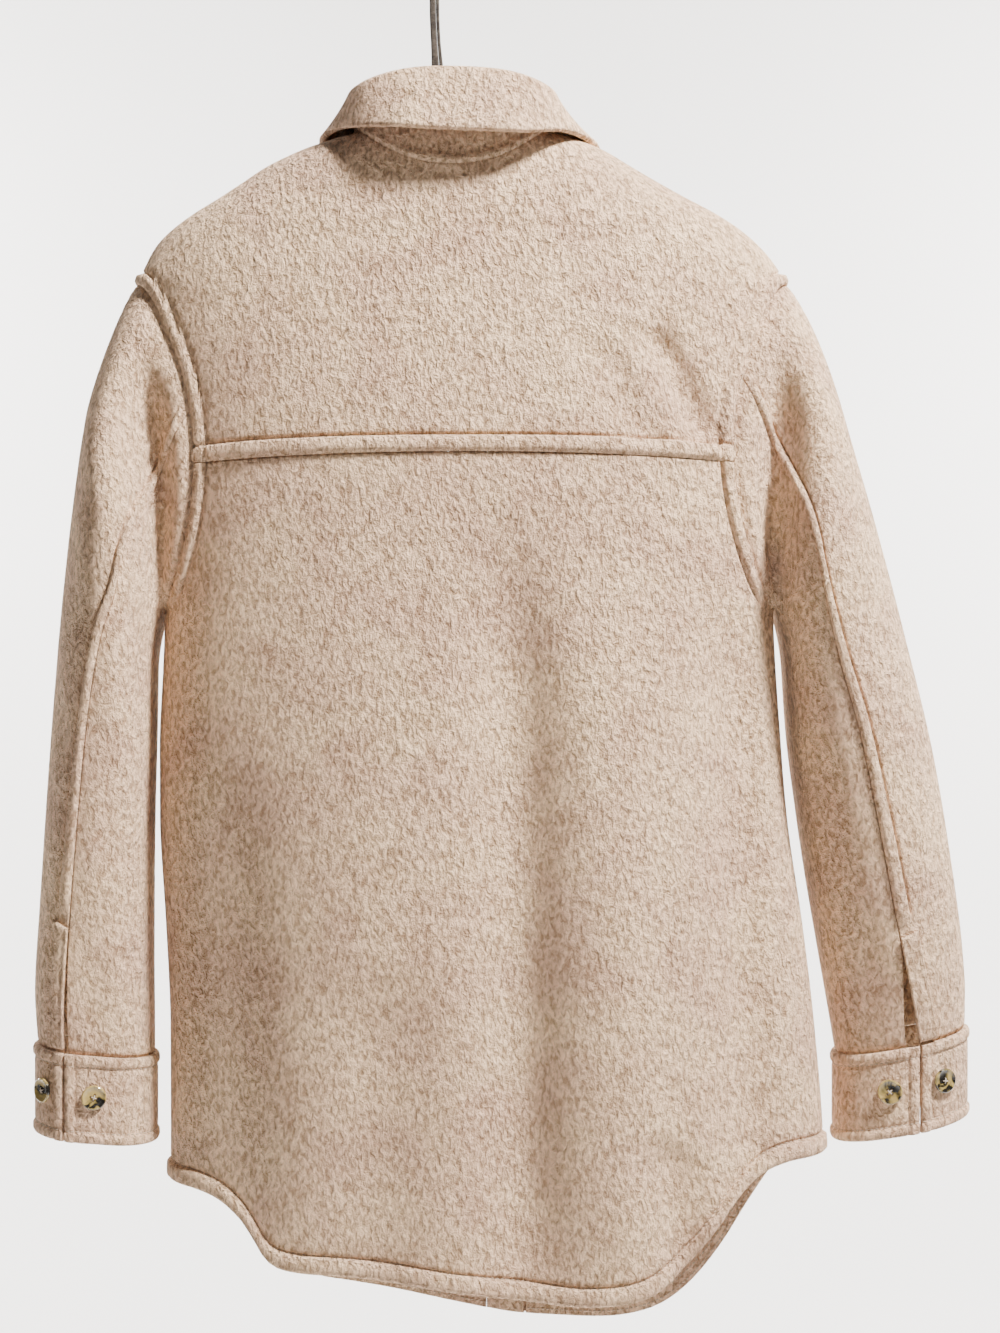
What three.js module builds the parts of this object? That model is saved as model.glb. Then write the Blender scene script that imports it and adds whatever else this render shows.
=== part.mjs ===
// A wool shirt jacket (shacket) that hangs on a slim flocked clothes hanger, seen as it hangs by its hook.
// Millimetres, +Z up. The back of the garment faces -Y and the wearer's left arm is at -X.
// The origin is the point of the hook where a rail carries it.
import * as THREE from "three";

// Driving sizes of the cloth and its seams
const CLOTH = 3.0; // one layer of felted wool
const SEAM_GAP = 0.3; // clearance between two sewn pieces
const FELL = 2.4; // how far a felled seam or a hem stands proud
const FELL_WIDTH = 12; // width of a felled seam
const HEM_WIDTH = 13; // width of the turned hem
const ARMHOLE_FELL = 10; // width of the armhole's felled seam
const FELL_EDGE = 0.45; // share of its height that a felled band has right at the seam
const FELL_RISE = 3.6; // how fast it rounds up from there
const FELL_DROP = 5; // how steeply it drops to its stitching
const FELL_STOPS = [0, 0.2, 0.8, 1]; // where across a band its shape is drawn
const SQUARENESS = 2.35; // exponent of the body's sections, 2 is an ellipse
const CAMBER = 3; // the back lies this much flatter towards its sides
const CAMBER_LEVEL = 0.3;
const SIDE_CALM = 2.2; // the folds die out towards the sides this fast
const DIFFERENCE = 0.6; // step, in degrees and in mm, for the surface's direction

// Heights of the construction lines, from the rail down
const SHOULDER_TIP_Z = -231;
const UNDERARM_Z = -467;
const YOKE_SEAM_Z = -362;
const YOKE_SEAM_RISE = 5; // the yoke seam is a little higher at the centre
const ARMHOLE_INSET = 37; // the armhole runs this far in from the side of the body
const FRONT_SCOOP = 1.16; // and this many times further in front
const FRONT_YOKE_DROP = 34; // the yoke comes over the shoulder to this depth below the tip
const FRONT_NECK_ANGLE = 118; // where the front yoke seam meets the neck
const PLACKET_HALF = 15; // half the width of the front bands

const BODY_COLOUR = 0xcdb8a4;
const HANGER_COLOUR = 0x3d352e;
const BUTTON_COLOUR = 0x6e5a33;

// Body sections, top to bottom: how far the left and right sides reach, the depth behind and in front of
// the centre plane, how far the section is turned (the right side comes nearer to the back), and the
// fullness that the folds take at that height
const BODY = [
  { z: -100, left: -60, right: 48, back: 52, front: 52, turn: 0.0 },
  { z: -124, left: -76, right: 64, back: 54, front: 54, turn: 0.0 },
  { z: -130, left: -99, right: 89, back: 55, front: 55, turn: 0.0 },
  { z: -136, left: -118, right: 105, back: 56, front: 56, turn: 0.0 },
  { z: -147, left: -142, right: 124, back: 57, front: 58, turn: 0.0 },
  { z: -158, left: -159, right: 143, back: 58, front: 59, turn: 0.0 },
  { z: -169, left: -176, right: 163, back: 59, front: 60, turn: 0.0 },
  { z: -180, left: -194, right: 184, back: 60, front: 61, turn: 0.0 },
  { z: -191, left: -209, right: 201, back: 61, front: 61, turn: 0.0 },
  { z: -202, left: -220, right: 214, back: 61, front: 62, turn: 0.0 },
  { z: -216, left: -228, right: 226, back: 62, front: 62, turn: 0.0 },
  { z: -231, left: -234, right: 234, back: 63, front: 63, turn: 0.0 },
  { z: -262, left: -234, right: 235, back: 66, front: 65, turn: 0.005 },
  { z: -300, left: -228, right: 230, back: 70, front: 67, turn: 0.01 },
  { z: -362, left: -221, right: 226, back: 74, front: 70, turn: 0.02 },
  { z: -467, left: -215, right: 224, back: 77, front: 74, turn: 0.03 },
  { z: -560, left: -219, right: 229, back: 79, front: 77, turn: 0.045 },
  { z: -620, left: -219, right: 234, back: 80, front: 79, turn: 0.055 },
  { z: -690, left: -215, right: 244, back: 81, front: 80, turn: 0.065 },
  { z: -760, left: -212, right: 252, back: 81, front: 81, turn: 0.075 },
  { z: -840, left: -212, right: 258, back: 81, front: 82, turn: 0.085 },
  { z: -1010, left: -214, right: 262, back: 82, front: 84, turn: 0.1 },
];

// Soft folds of the back and front: where each starts and ends across, its half width, its depth
// (negative stands out), and the heights between which it runs
const BACK_FOLDS = [
  { name: "main valley", top: 34, bottom: 52, width: 26, depth: 11, from: -380, to: -930 },
  { name: "crest beside it", top: 104, bottom: 128, width: 38, depth: -5, from: -420, to: -960 },
  { name: "right valley", top: 186, bottom: 202, width: 20, depth: 8, from: -430, to: -850 },
  { name: "left crest", top: -70, bottom: -74, width: 60, depth: -4, from: -400, to: -960 },
  { name: "left valley", top: -158, bottom: -150, width: 26, depth: 4, from: -560, to: -900 },
  { name: "dimple by the right armhole", top: 132, bottom: 172, width: 12, depth: 5, from: -262, to: -345 },
  { name: "dimple by the hem", top: 150, bottom: 160, width: 14, depth: 4, from: -846, to: -915 },
];
const FRONT_FOLDS = [
  { name: "left front fold", top: -96, bottom: -118, width: 26, depth: 9, from: -380, to: -990 },
  { name: "left front crest", top: -150, bottom: -168, width: 24, depth: -4, from: -470, to: -940 },
  { name: "right front fold", top: 112, bottom: 138, width: 28, depth: 9, from: -400, to: -990 },
  { name: "right front crest", top: 170, bottom: 196, width: 22, depth: -4, from: -480, to: -930 },
];

// The hem's lower edge, by where it is across: a shirt tail that dips between the side seams
const BACK_HEM = [
  { x: -215, z: -875 }, { x: -200, z: -876 }, { x: -183, z: -877 }, { x: -167, z: -882 },
  { x: -152, z: -893 }, { x: -141, z: -907 }, { x: -133, z: -919 }, { x: -120, z: -925 },
  { x: -80, z: -927 }, { x: -40, z: -930 }, { x: 0, z: -935 }, { x: 40, z: -940 },
  { x: 75, z: -942 }, { x: 105, z: -940 }, { x: 128, z: -934 }, { x: 148, z: -921 },
  { x: 170, z: -895 }, { x: 188, z: -872 }, { x: 206, z: -856 }, { x: 224, z: -849 },
  { x: 240, z: -848 }, { x: 262, z: -848 },
];
const FRONT_HEM = [
  { x: -215, z: -875 }, { x: -200, z: -880 }, { x: -180, z: -893 }, { x: -158, z: -920 },
  { x: -138, z: -948 }, { x: -118, z: -965 }, { x: -90, z: -973 }, { x: -50, z: -981 },
  { x: 0, z: -991 }, { x: 40, z: -997 }, { x: 90, z: -998 }, { x: 120, z: -995 },
  { x: 148, z: -984 }, { x: 172, z: -964 }, { x: 194, z: -935 }, { x: 212, z: -903 },
  { x: 230, z: -872 }, { x: 244, z: -856 }, { x: 262, z: -848 },
];

// Sleeve sections from the armhole (0) to the cuff (1): outer and inner side across, their heights, the
// half depth, and the angles round the sleeve of its back seam (rear) and its underarm seam (under)
const LEFT_SLEEVE = [
  { t: 0.0, outer: -246, inner: -221, zOuter: -236, zInner: -462, depth: 62, rear: 78, under: 186 },
  { t: 0.07, outer: -258, inner: -221.5, zOuter: -276, zInner: -487, depth: 65, rear: 100, under: 188 },
  { t: 0.15, outer: -269, inner: -222, zOuter: -322, zInner: -513, depth: 66, rear: 107, under: 190 },
  { t: 0.3, outer: -281, inner: -222.5, zOuter: -404, zInner: -560, depth: 64, rear: 93, under: 190 },
  { t: 0.45, outer: -290, inner: -223.5, zOuter: -486, zInner: -608, depth: 59, rear: 85, under: 190 },
  { t: 0.6, outer: -297, inner: -224, zOuter: -568, zInner: -656, depth: 54, rear: 80, under: 190 },
  { t: 0.8, outer: -305, inner: -224, zOuter: -676, zInner: -720, depth: 46, rear: 74, under: 190 },
  { t: 0.92, outer: -309, inner: -223.5, zOuter: -738, zInner: -760, depth: 41, rear: 71, under: 190 },
  { t: 1.0, outer: -307, inner: -223.5, zOuter: -776, zInner: -785, depth: 38, rear: 69, under: 190 },
];
const RIGHT_SLEEVE = [
  { t: 0.0, outer: 247, inner: 231, zOuter: -236, zInner: -462, depth: 62, rear: 66, under: 172 },
  { t: 0.07, outer: 262, inner: 232, zOuter: -276, zInner: -487, depth: 65, rear: 90, under: 170 },
  { t: 0.15, outer: 274, inner: 233, zOuter: -322, zInner: -513, depth: 67, rear: 101, under: 168 },
  { t: 0.3, outer: 298, inner: 236, zOuter: -404, zInner: -560, depth: 66, rear: 99, under: 164 },
  { t: 0.45, outer: 320, inner: 242, zOuter: -486, zInner: -608, depth: 62, rear: 94, under: 158 },
  { t: 0.6, outer: 340, inner: 249, zOuter: -568, zInner: -656, depth: 57, rear: 93, under: 152 },
  { t: 0.8, outer: 358, inner: 260, zOuter: -676, zInner: -720, depth: 49, rear: 90, under: 148 },
  { t: 0.92, outer: 364, inner: 267, zOuter: -734, zInner: -760, depth: 43, rear: 86, under: 146 },
  { t: 1.0, outer: 364, inner: 271, zOuter: -764, zInner: -784, depth: 38, rear: 82, under: 146 },
];
const SLEEVE_SQUARENESS = 2.15;
const SLEEVE_FORWARD = 6; // the sleeves hang a little forward at the cuff
const CREASE_DEPTH = 20; // the cloth folds in beside the back of the armhole
const VENT_TOP = 0.79; // where the sleeve opening starts
const VENT_GAP = 6; // how far it stands open at the cuff
const CUFF_HEIGHT = 62;
const CUFF_WALL = 5; // two layers of cloth
const CUFF_PROUD = 2.2; // the cuff stands out from the sleeve's end
const CUFF_GAP = 5; // the ends of an unbuttoned cuff lie this far apart

// The collar, by the angle round the neck from the centre back: the height of its roll, and the
// outer edge of the fall
const COLLAR = [
  { angle: -176, roll: -171, x: -52, y: 73, z: -250 },
  { angle: -150, roll: -150, x: -76, y: 72, z: -205 },
  { angle: -125, roll: -123, x: -96, y: 64, z: -161 },
  { angle: -100, roll: -106, x: -103, y: 24, z: -131 },
  { angle: -80, roll: -102, x: -100, y: -14, z: -127 },
  { angle: -60, roll: -97, x: -84, y: -47, z: -128 },
  { angle: -30, roll: -90, x: -45, y: -73, z: -133 },
  { angle: -8, roll: -88, x: -12, y: -78, z: -136 },
  { angle: 30, roll: -90, x: 42, y: -74, z: -137 },
  { angle: 60, roll: -97, x: 74, y: -50, z: -131 },
  { angle: 80, roll: -103, x: 94, y: -16, z: -130 },
  { angle: 100, roll: -107, x: 101, y: 24, z: -133 },
  { angle: 125, roll: -124, x: 93, y: 64, z: -163 },
  { angle: 150, roll: -151, x: 74, y: 72, z: -207 },
  { angle: 176, roll: -171, x: 50, y: 73, z: -250 },
];
const NECK = { halfWidth: 70, centre: -6, back: -155, side: -124, front: -200 };
const COLLAR_WALL = 4.4; // the fall is two layers
const STAND_SHARE = 0.46; // the stand takes this share of the height up to the roll
const ROLL_RADIUS = 5;

const BUTTON = { radius: 8.8, height: 3.4, dish: 1.1, rim: 1.6 };
const FRONT_BUTTONS = [-224, -318, -430, -542, -654, -766];

const HANGER = {
  centre: -16, left: -215, right: 188, thick: 5, arm: 13, barZ: -268, bar: 8, shoulderGap: 5.5,
  steps: 26, neckDrop: 12, corner: 14,
};
const HOOK = { wide: 7, root: 12, deep: 5, radius: 20, base: -112, straightTo: -24, tailAngle: -15 };

const HEM_GUESS_Z = -900; // where the search for the hem starts
const HEM_PASSES = 5;
const NECK_BAND_ANGLE = 167; // the neck angle where the front bands begin
const SLEEVE_BLEND = 0.15; // the sleeve takes its own section over this share of its length
const CREASE_AT = 0.05; // where along the sleeve that crease is deepest
const CREASE_HALF = 0.035;
const CREASE_START = 0.05;
const UNDERARM_ARCH = 1; // the cloth arches up this far under the arm
const SEAM_EASE = 0.03; // the sleeve's wall stands square to the armhole seam up to here
const ARMHOLE_CLEAR = 1.3; // from the armhole's line to the sleeve's edge
const UNDERARM_CLEAR = 1.8; // and its lower part
const UNDERARM_LIFT = 0.8; // the sleeve's edge stands out this far under the arm
const SLEEVE_SEAM = 0.5; // the gap in the sleeve's own seams
const SLEEVE_SETTLED = 0.09; // the share of its length where the head of the sleeve ends
const HEAD_SEAM_EASE = 3; // the sleeve's seams stand wider open beside the armhole
const HEAD_WALL_SHARE = 0.35; // the sleeve's cloth is pressed thinner in the armhole seam
const SLEEVE_ROWS = [
  0, 0.024, 0.05, 0.08, 0.11, 0.15, 0.2, 0.26, 0.34, 0.43, 0.52, 0.61, 0.7, 0.77, 0.8, 0.86, 0.93, 1,
];
const VENT_WIDTH = 13; // the strip that faces the sleeve's opening
const VENT_WALL = 2.4;
const CUFF_BAND = 8; // the stitched edge round a cuff
const CUFF_BAND_SHARE = 0.6; // it stands less proud than a felled seam
const CUFF_BUTTON_IN = 22; // from the cuff's end to its button
const CUFF_BUTTON_DOWN = 0.46; // and down it
const COLLAR_STEPS = 30;
const COLLAR_END = 176; // the collar's ends, as angles round the neck
const STAND_CLEAR = 1.7; // from the neck seam to the stand at the front
const STAND_LEAN = 0.05; // the stand leans in by this share of its height
const FALL_CLEAR = 3.0; // from the shoulders to the fall
const NECK_SPAN = 64; // the hanger's arms meet in a low peak this wide each side
const NECK_FLAT = 1.1; // its top is a little flat, under the hook

const rad = (degrees) => (degrees * Math.PI) / 180;
const mix = (a, b, k) => a + (b - a) * k;
const clamp01 = (k) => Math.min(1, Math.max(0, k));
const smooth = (k) => clamp01(k) ** 2 * (3 - 2 * clamp01(k));

// Reads a table at one value of its first column, on a smooth curve through its rows
function lookUp(table, key, value, column) {
  const last = table.length - 1;
  const rising = table[last][key] > table[0][key];
  let i = 0;
  while (i < last - 1 && (rising ? value > table[i + 1][key] : value < table[i + 1][key])) i += 1;
  const a = table[i];
  const b = table[i + 1];
  const width = b[key] - a[key];
  const k = clamp01((value - a[key]) / width);
  const before = table[Math.max(0, i - 1)];
  const after = table[Math.min(last, i + 2)];
  const slope = (p, q) => (q[key] === p[key] ? 0 : (q[column] - p[column]) / (q[key] - p[key]));
  const capped = (s, inner) => Math.sign(s) * Math.min(Math.abs(s), 3 * Math.abs(inner));
  const limit = (s, inner) => (s * inner <= 0 ? 0 : capped(s, inner));
  const chord = slope(a, b);
  const m0 = limit(slope(before, b), chord) * width;
  const m1 = limit(slope(a, after), chord) * width;
  const k2 = k * k;
  const k3 = k2 * k;
  const ends = (2 * k3 - 3 * k2 + 1) * a[column] + (3 * k2 - 2 * k3) * b[column];
  return ends + (k3 - 2 * k2 + k) * m0 + (k3 - k2) * m1;
}

const signedPower = (value, power) => Math.sign(value) * Math.abs(value) ** power;

function foldDepth(folds, x, z) {
  let sum = 0;
  for (const fold of folds) {
    const along = (z - fold.from) / (fold.to - fold.from);
    const fade = smooth(along / 0.25) * smooth((1.12 - along) / 0.3);
    const centre = mix(fold.top, fold.bottom, clamp01(along));
    sum += fold.depth * fade * Math.exp(-(((x - centre) / fold.width) ** 2));
  }
  return sum;
}

// A point of the body's outer face: angle 0 is the centre back, 90 the right side, -90 the left side
function bodyPoint(angle, z) {
  const left = lookUp(BODY, "z", z, "left");
  const right = lookUp(BODY, "z", z, "right");
  const turn = lookUp(BODY, "z", z, "turn");
  const centre = (left + right) / 2;
  const half = (right - left) / 2;
  const s = Math.sin(rad(angle));
  const c = Math.cos(rad(angle));
  const across = half * signedPower(s, 2 / SQUARENESS);
  const depth = lookUp(BODY, "z", z, c >= 0 ? "back" : "front");
  let y = -depth * signedPower(c, 2 / SQUARENESS);
  const calm = Math.min(1, Math.abs(c) * SIDE_CALM) ** 2;
  if (c >= 0) {
    y += calm * (foldDepth(BACK_FOLDS, centre + across, z) + CAMBER * ((across / half) ** 2 - CAMBER_LEVEL));
  } else {
    y -= calm * foldDepth(FRONT_FOLDS, centre + across, z);
  }
  return new THREE.Vector3(centre + across + turn * y, y - turn * across, z);
}

function bodyNormal(angle, z) {
  const da = bodyPoint(angle + DIFFERENCE, z).sub(bodyPoint(angle - DIFFERENCE, z));
  const dz = bodyPoint(angle, z + DIFFERENCE).sub(bodyPoint(angle, z - DIFFERENCE));
  return da.cross(dz).normalize();
}

// The body angle whose point lies at a given place across the section
function angleAt(across, z) {
  const left = lookUp(BODY, "z", z, "left");
  const right = lookUp(BODY, "z", z, "right");
  const share = Math.min(1, Math.max(-1, (across - (left + right) / 2) / ((right - left) / 2)));
  return (Math.asin(signedPower(share, SQUARENESS / 2)) * 180) / Math.PI;
}

// How far down the armhole a height lies, as a share of its length along the curve
const zToArmhole = (z) => Math.acos(1 - (2 * (z - SHOULDER_TIP_Z)) / (UNDERARM_Z - SHOULDER_TIP_Z)) / Math.PI;

// Half of the armhole, from the shoulder tip (0) to the underarm (1); front is true in front of the arm
function armholeMark(side, w, front) {
  const z = mix(SHOULDER_TIP_Z, UNDERARM_Z, (1 - Math.cos(Math.PI * w)) / 2);
  const q = (z - SHOULDER_TIP_Z) / (UNDERARM_Z - SHOULDER_TIP_Z);
  const scoop = front ? FRONT_SCOOP : 1;
  const inset = scoop * ARMHOLE_INSET * (4 * q * (1 - q)) ** 0.6 * (1 - 0.45 * q ** 3);
  const edge = lookUp(BODY, "z", z, side > 0 ? "right" : "left");
  const angle = Math.abs(angleAt(edge - side * inset, z));
  return { angle: side * (front ? 180 - angle : angle), z };
}

// The armhole's angle on the body at one height
function armholeAngle(side, z, front) {
  if (z <= UNDERARM_Z || z >= SHOULDER_TIP_Z) return side * 90;
  return armholeMark(side, zToArmhole(z), front).angle;
}

// The neck seam, by the angle round the neck
function neckMark(angle) {
  const size = Math.abs(angle);
  const sideShare = Math.sin(rad(Math.min(size, 90)));
  const z = size <= 90
    ? mix(NECK.back, NECK.side, sideShare ** 2.2)
    : mix(NECK.side, NECK.front, (1 - Math.sin(rad(size))) ** 0.62);
  const across = NECK.centre + NECK.halfWidth * Math.sin(rad(angle));
  const body = angleAt(across, z);
  return { angle: size <= 90 ? body : Math.sign(angle) * 180 - body, z };
}

const markPoint = (mark) => bodyPoint(mark.angle, mark.z);

// A curve given by a function of 0 to 1, measured so that it can be walked in millimetres
function measured(pointAt, steps = 28) {
  const lengths = [0];
  let previous = pointAt(0);
  for (let i = 1; i <= steps; i += 1) {
    const next = pointAt(i / steps);
    lengths.push(lengths[i - 1] + next.distanceTo(previous));
    previous = next;
  }
  const length = lengths[steps];
  const at = (distance) => {
    if (distance <= 0) return 0;
    if (distance >= length) return 1;
    let i = 0;
    while (lengths[i + 1] < distance) i += 1;
    return (i + (distance - lengths[i]) / (lengths[i + 1] - lengths[i])) / steps;
  };
  return { length, at };
}

// Distances along an edge: close together over a felled band at either end, even between
function stops(length, between, startBand, endBand, crowd = 1) {
  const band = (width) => (width ? FELL_STOPS.map((share) => share * width) : [0]);
  const start = band(startBand);
  const end = band(endBand).map((d) => length - d).reverse();
  const inner = [];
  const a = start[start.length - 1];
  const b = end[0];
  for (let i = 1; i < between; i += 1) inner.push(mix(a, b, (i / between) ** crowd));
  return [...start, ...inner, ...end];
}

// How far a band stands proud, by the distance from its edge: rounded, with a stitched valley after it
function bandHeight(distance, width) {
  if (!width || distance >= width) return 0;
  const k = distance / width;
  return FELL * Math.min(1, FELL_EDGE + FELL_RISE * k) * Math.min(1, (1 - k) * FELL_DROP);
}

// A closed wall of cloth between a grid of outer points and a grid of inner points
function wallGeometry(outer, inner) {
  const rows = outer.length;
  const columns = outer[0].length;
  const positions = [];
  [...outer, ...inner].forEach((row) => row.forEach((p) => positions.push(p.x, p.y, p.z)));
  const index = (layer, i, j) => layer * rows * columns + i * columns + j;
  const faces = [];
  const quad = (a, b, c, d) => faces.push(a, b, c, a, c, d);
  for (let i = 0; i < rows - 1; i += 1) {
    for (let j = 0; j < columns - 1; j += 1) {
      quad(index(0, i, j), index(0, i + 1, j), index(0, i + 1, j + 1), index(0, i, j + 1));
      quad(index(1, i, j), index(1, i, j + 1), index(1, i + 1, j + 1), index(1, i + 1, j));
    }
  }
  for (let j = 0; j < columns - 1; j += 1) {
    quad(index(0, 0, j), index(0, 0, j + 1), index(1, 0, j + 1), index(1, 0, j));
    quad(index(0, rows - 1, j), index(1, rows - 1, j), index(1, rows - 1, j + 1), index(0, rows - 1, j + 1));
  }
  for (let i = 0; i < rows - 1; i += 1) {
    quad(index(0, i, 0), index(1, i, 0), index(1, i + 1, 0), index(0, i + 1, 0));
    const end = columns - 1;
    quad(index(0, i, end), index(0, i + 1, end), index(1, i + 1, end), index(1, i, end));
  }
  const geometry = new THREE.BufferGeometry();
  geometry.setAttribute("position", new THREE.Float32BufferAttribute(positions, 3));
  geometry.setIndex(faces);
  geometry.computeVertexNormals();
  return geometry;
}

// Turns the faces of a closed geometry to point out
function facingOut(geometry) {
  const p = geometry.getAttribute("position");
  const index = geometry.getIndex();
  const a = new THREE.Vector3();
  const b = new THREE.Vector3();
  const c = new THREE.Vector3();
  let volume = 0;
  for (let i = 0; i < index.count; i += 3) {
    a.fromBufferAttribute(p, index.getX(i));
    b.fromBufferAttribute(p, index.getX(i + 1));
    c.fromBufferAttribute(p, index.getX(i + 2));
    volume += a.dot(b.cross(c));
  }
  if (volume < 0) {
    for (let i = 0; i < index.count; i += 3) {
      const first = index.getX(i);
      index.setX(i, index.getX(i + 1));
      index.setX(i + 1, first);
    }
  }
  return geometry;
}

const cloth = new THREE.MeshStandardMaterial({ color: BODY_COLOUR, roughness: 0.95, metalness: 0 });
const garment = new THREE.Group();

function addPiece(name, geometry, material = cloth.clone()) {
  const mesh = new THREE.Mesh(facingOut(geometry), material);
  mesh.name = name;
  garment.add(mesh);
}

// A panel of cloth: cells hold a base point, its outward normal and the height of its raised bands
function addPanel(name, cells, wall = CLOTH) {
  const offset = (amount) => cells.map((row) => (
    row.map((c) => c.point.clone().addScaledVector(c.normal, amount(c)))
  ));
  addPiece(name, wallGeometry(offset((c) => c.raise), offset((c) => -(c.wall ?? wall))));
}

const bodyCell = (angle, z, raise) => ({ point: bodyPoint(angle, z), normal: bodyNormal(angle, z), raise });

// The yoke is a fan of rays from the neck seam to the armholes and the back yoke seam
const yokeSeamZ = (share) => YOKE_SEAM_Z + YOKE_SEAM_RISE * (1 - (2 * share - 1) ** 2);
const CORNER_W = zToArmhole(YOKE_SEAM_Z);
const FRONT_W = zToArmhole(SHOULDER_TIP_Z - FRONT_YOKE_DROP);
const YOKE_FRONT_STEPS = 4;
const YOKE_ARM_STEPS = 8;
const YOKE_BACK_STEPS = 16;
const YOKE_ROWS = 6;
const END_RAY_GAP = 0.55; // the front ends of the yoke stop this far short of the fronts
const YOKE_ARM_NECK = 62; // the rays to the armhole leave the neck beyond this angle

function yokeRays() {
  const rays = [];
  const arm = (side) => {
    const spans = [
      { steps: YOKE_FRONT_STEPS, wFrom: -FRONT_W, wTo: 0, neckFrom: FRONT_NECK_ANGLE, neckTo: 90 },
      { steps: YOKE_ARM_STEPS, wFrom: 0, wTo: CORNER_W, neckFrom: 90, neckTo: YOKE_ARM_NECK },
    ];
    for (const { steps, wFrom, wTo, neckFrom, neckTo } of spans) {
      for (let i = 0; i < steps; i += 1) {
        const w = mix(wFrom, wTo, i / steps);
        const from = neckMark(side * mix(neckFrom, neckTo, i / steps));
        rays.push({ from, to: armholeMark(side, Math.abs(w), w < 0), band: ARMHOLE_FELL });
      }
    }
  };
  arm(-1);
  const left = armholeMark(-1, CORNER_W, false).angle;
  const right = armholeMark(1, CORNER_W, false).angle;
  const seam = measured((k) => bodyPoint(mix(left, right, k), YOKE_SEAM_Z));
  for (let i = 0; i <= YOKE_BACK_STEPS; i += 1) {
    const k = i / YOKE_BACK_STEPS;
    const share = seam.at(k * seam.length);
    const to = { angle: mix(left, right, share), z: yokeSeamZ(k) };
    rays.push({ from: neckMark(mix(-YOKE_ARM_NECK, YOKE_ARM_NECK, k)), to, band: FELL_WIDTH });
  }
  const firstRight = rays.length;
  arm(1);
  const rightRays = rays.splice(firstRight).reverse();
  return [...rays, ...rightRays];
}

function addYoke() {
  const rays = yokeRays();
  const cells = rays.map((ray) => {
    const line = (k) => ({ angle: mix(ray.from.angle, ray.to.angle, k), z: mix(ray.from.z, ray.to.z, k) });
    const curve = measured((k) => markPoint(line(k)));
    const marks = stops(curve.length - SEAM_GAP / 2, YOKE_ROWS, 0, ray.band);
    return marks.map((d) => {
      const mark = line(curve.at(d));
      return bodyCell(mark.angle, mark.z, bandHeight(curve.length - d, ray.band));
    });
  });
  [[0, 1], [cells.length - 1, cells.length - 2]].forEach(([end, next]) => {
    cells[end].forEach((cell, j) => {
      const inward = cells[next][j].point.clone().sub(cell.point).normalize();
      cell.point.addScaledVector(inward, END_RAY_GAP);
    });
  });
  addPanel("yoke", cells);
}

// The front yoke seam as an angle at each height between the neck and the armhole
function frontYokeAngle(side, z) {
  const top = neckMark(side * FRONT_NECK_ANGLE);
  const bottom = armholeMark(side, FRONT_W, true);
  return mix(top.angle, bottom.angle, clamp01((z - top.z) / (bottom.z - top.z)));
}

const hemZ = (table, angle) => {
  let z = HEM_GUESS_Z;
  for (let pass = 0; pass < HEM_PASSES; pass += 1) z = lookUp(table, "x", bodyPoint(angle, z).x, "z");
  return z;
};

// The armhole's felled band dies out below the underarm
const sideFade = (z) => smooth((z - UNDERARM_Z) / 20);

// A panel whose rows run across the body between two edges, and whose columns run down it
function bodyPanel({ leftAngle, rightAngle, topZ, bottomZ, columns, rows, bands, lift = 0, crowd = 1 }) {
  const grid = [];
  const middleLength = 400; // any length near the panel's own shares its columns out alike
  const rowAt = (z) => {
    const a = leftAngle(z);
    const b = rightAngle(z);
    return { a, b, curve: measured((k) => bodyPoint(mix(a, b, k), z)) };
  };
  const columnShares = stops(middleLength, columns, bands.left, bands.right).map((d) => d / middleLength);
  const columnLength = (share) => {
    let bottom = HEM_GUESS_Z;
    for (let pass = 0; pass < HEM_PASSES; pass += 1) {
      const row = rowAt(bottom);
      bottom = bottomZ(mix(row.a, row.b, row.curve.at(share * row.curve.length)));
    }
    return { top: topZ(share), bottom };
  };
  const ends = columnShares.map(columnLength);
  const count = stops(100, rows, bands.top, bands.bottom).length;
  for (let i = 0; i < count; i += 1) {
    const row = [];
    for (let j = 0; j < columnShares.length; j += 1) {
      const { top, bottom } = ends[j];
      const length = top - bottom;
      const down = stops(length, rows, bands.top, bands.bottom, crowd)[i];
      const z = mix(top - SEAM_GAP / 2, bottom, down / length);
      const across = rowAt(z);
      const places = stops(across.curve.length, columns, bands.left, bands.right);
      const gap = Math.min(across.curve.length - SEAM_GAP / 2, Math.max(SEAM_GAP / 2, places[j]));
      const angle = mix(across.a, across.b, across.curve.at(gap));
      const raise = Math.max(
        bandHeight(down, bands.top),
        bandHeight(length - down, bands.bottom),
        sideFade(z) * bandHeight(gap, bands.left),
        sideFade(z) * bandHeight(across.curve.length - gap, bands.right),
      );
      const cell = bodyCell(angle, z, raise);
      cell.point.addScaledVector(cell.normal, lift);
      row.push(cell);
    }
    grid.push(row);
  }
  return grid;
}

function addBack() {
  const cells = bodyPanel({
    leftAngle: (z) => armholeAngle(-1, z, false),
    rightAngle: (z) => armholeAngle(1, z, false),
    topZ: (share) => yokeSeamZ(share) - SEAM_GAP / 2,
    bottomZ: (angle) => hemZ(BACK_HEM, angle),
    columns: 20,
    rows: 15,
    bands: { top: 0, bottom: HEM_WIDTH, left: ARMHOLE_FELL, right: ARMHOLE_FELL },
  });
  addPanel("back_panel", cells);
}

// The front: how far from the centre front each panel and band reaches
function frontAngle(side, offset, z) {
  const centre = (lookUp(BODY, "z", z, "left") + lookUp(BODY, "z", z, "right")) / 2;
  return side * 180 - angleAt(centre + side * offset, z);
}

const sideOfFront = (side) => (z) => {
  const seamEnd = SHOULDER_TIP_Z - FRONT_YOKE_DROP;
  if (z > seamEnd) return frontYokeAngle(side, z);
  return armholeAngle(side, z, true);
};

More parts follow.
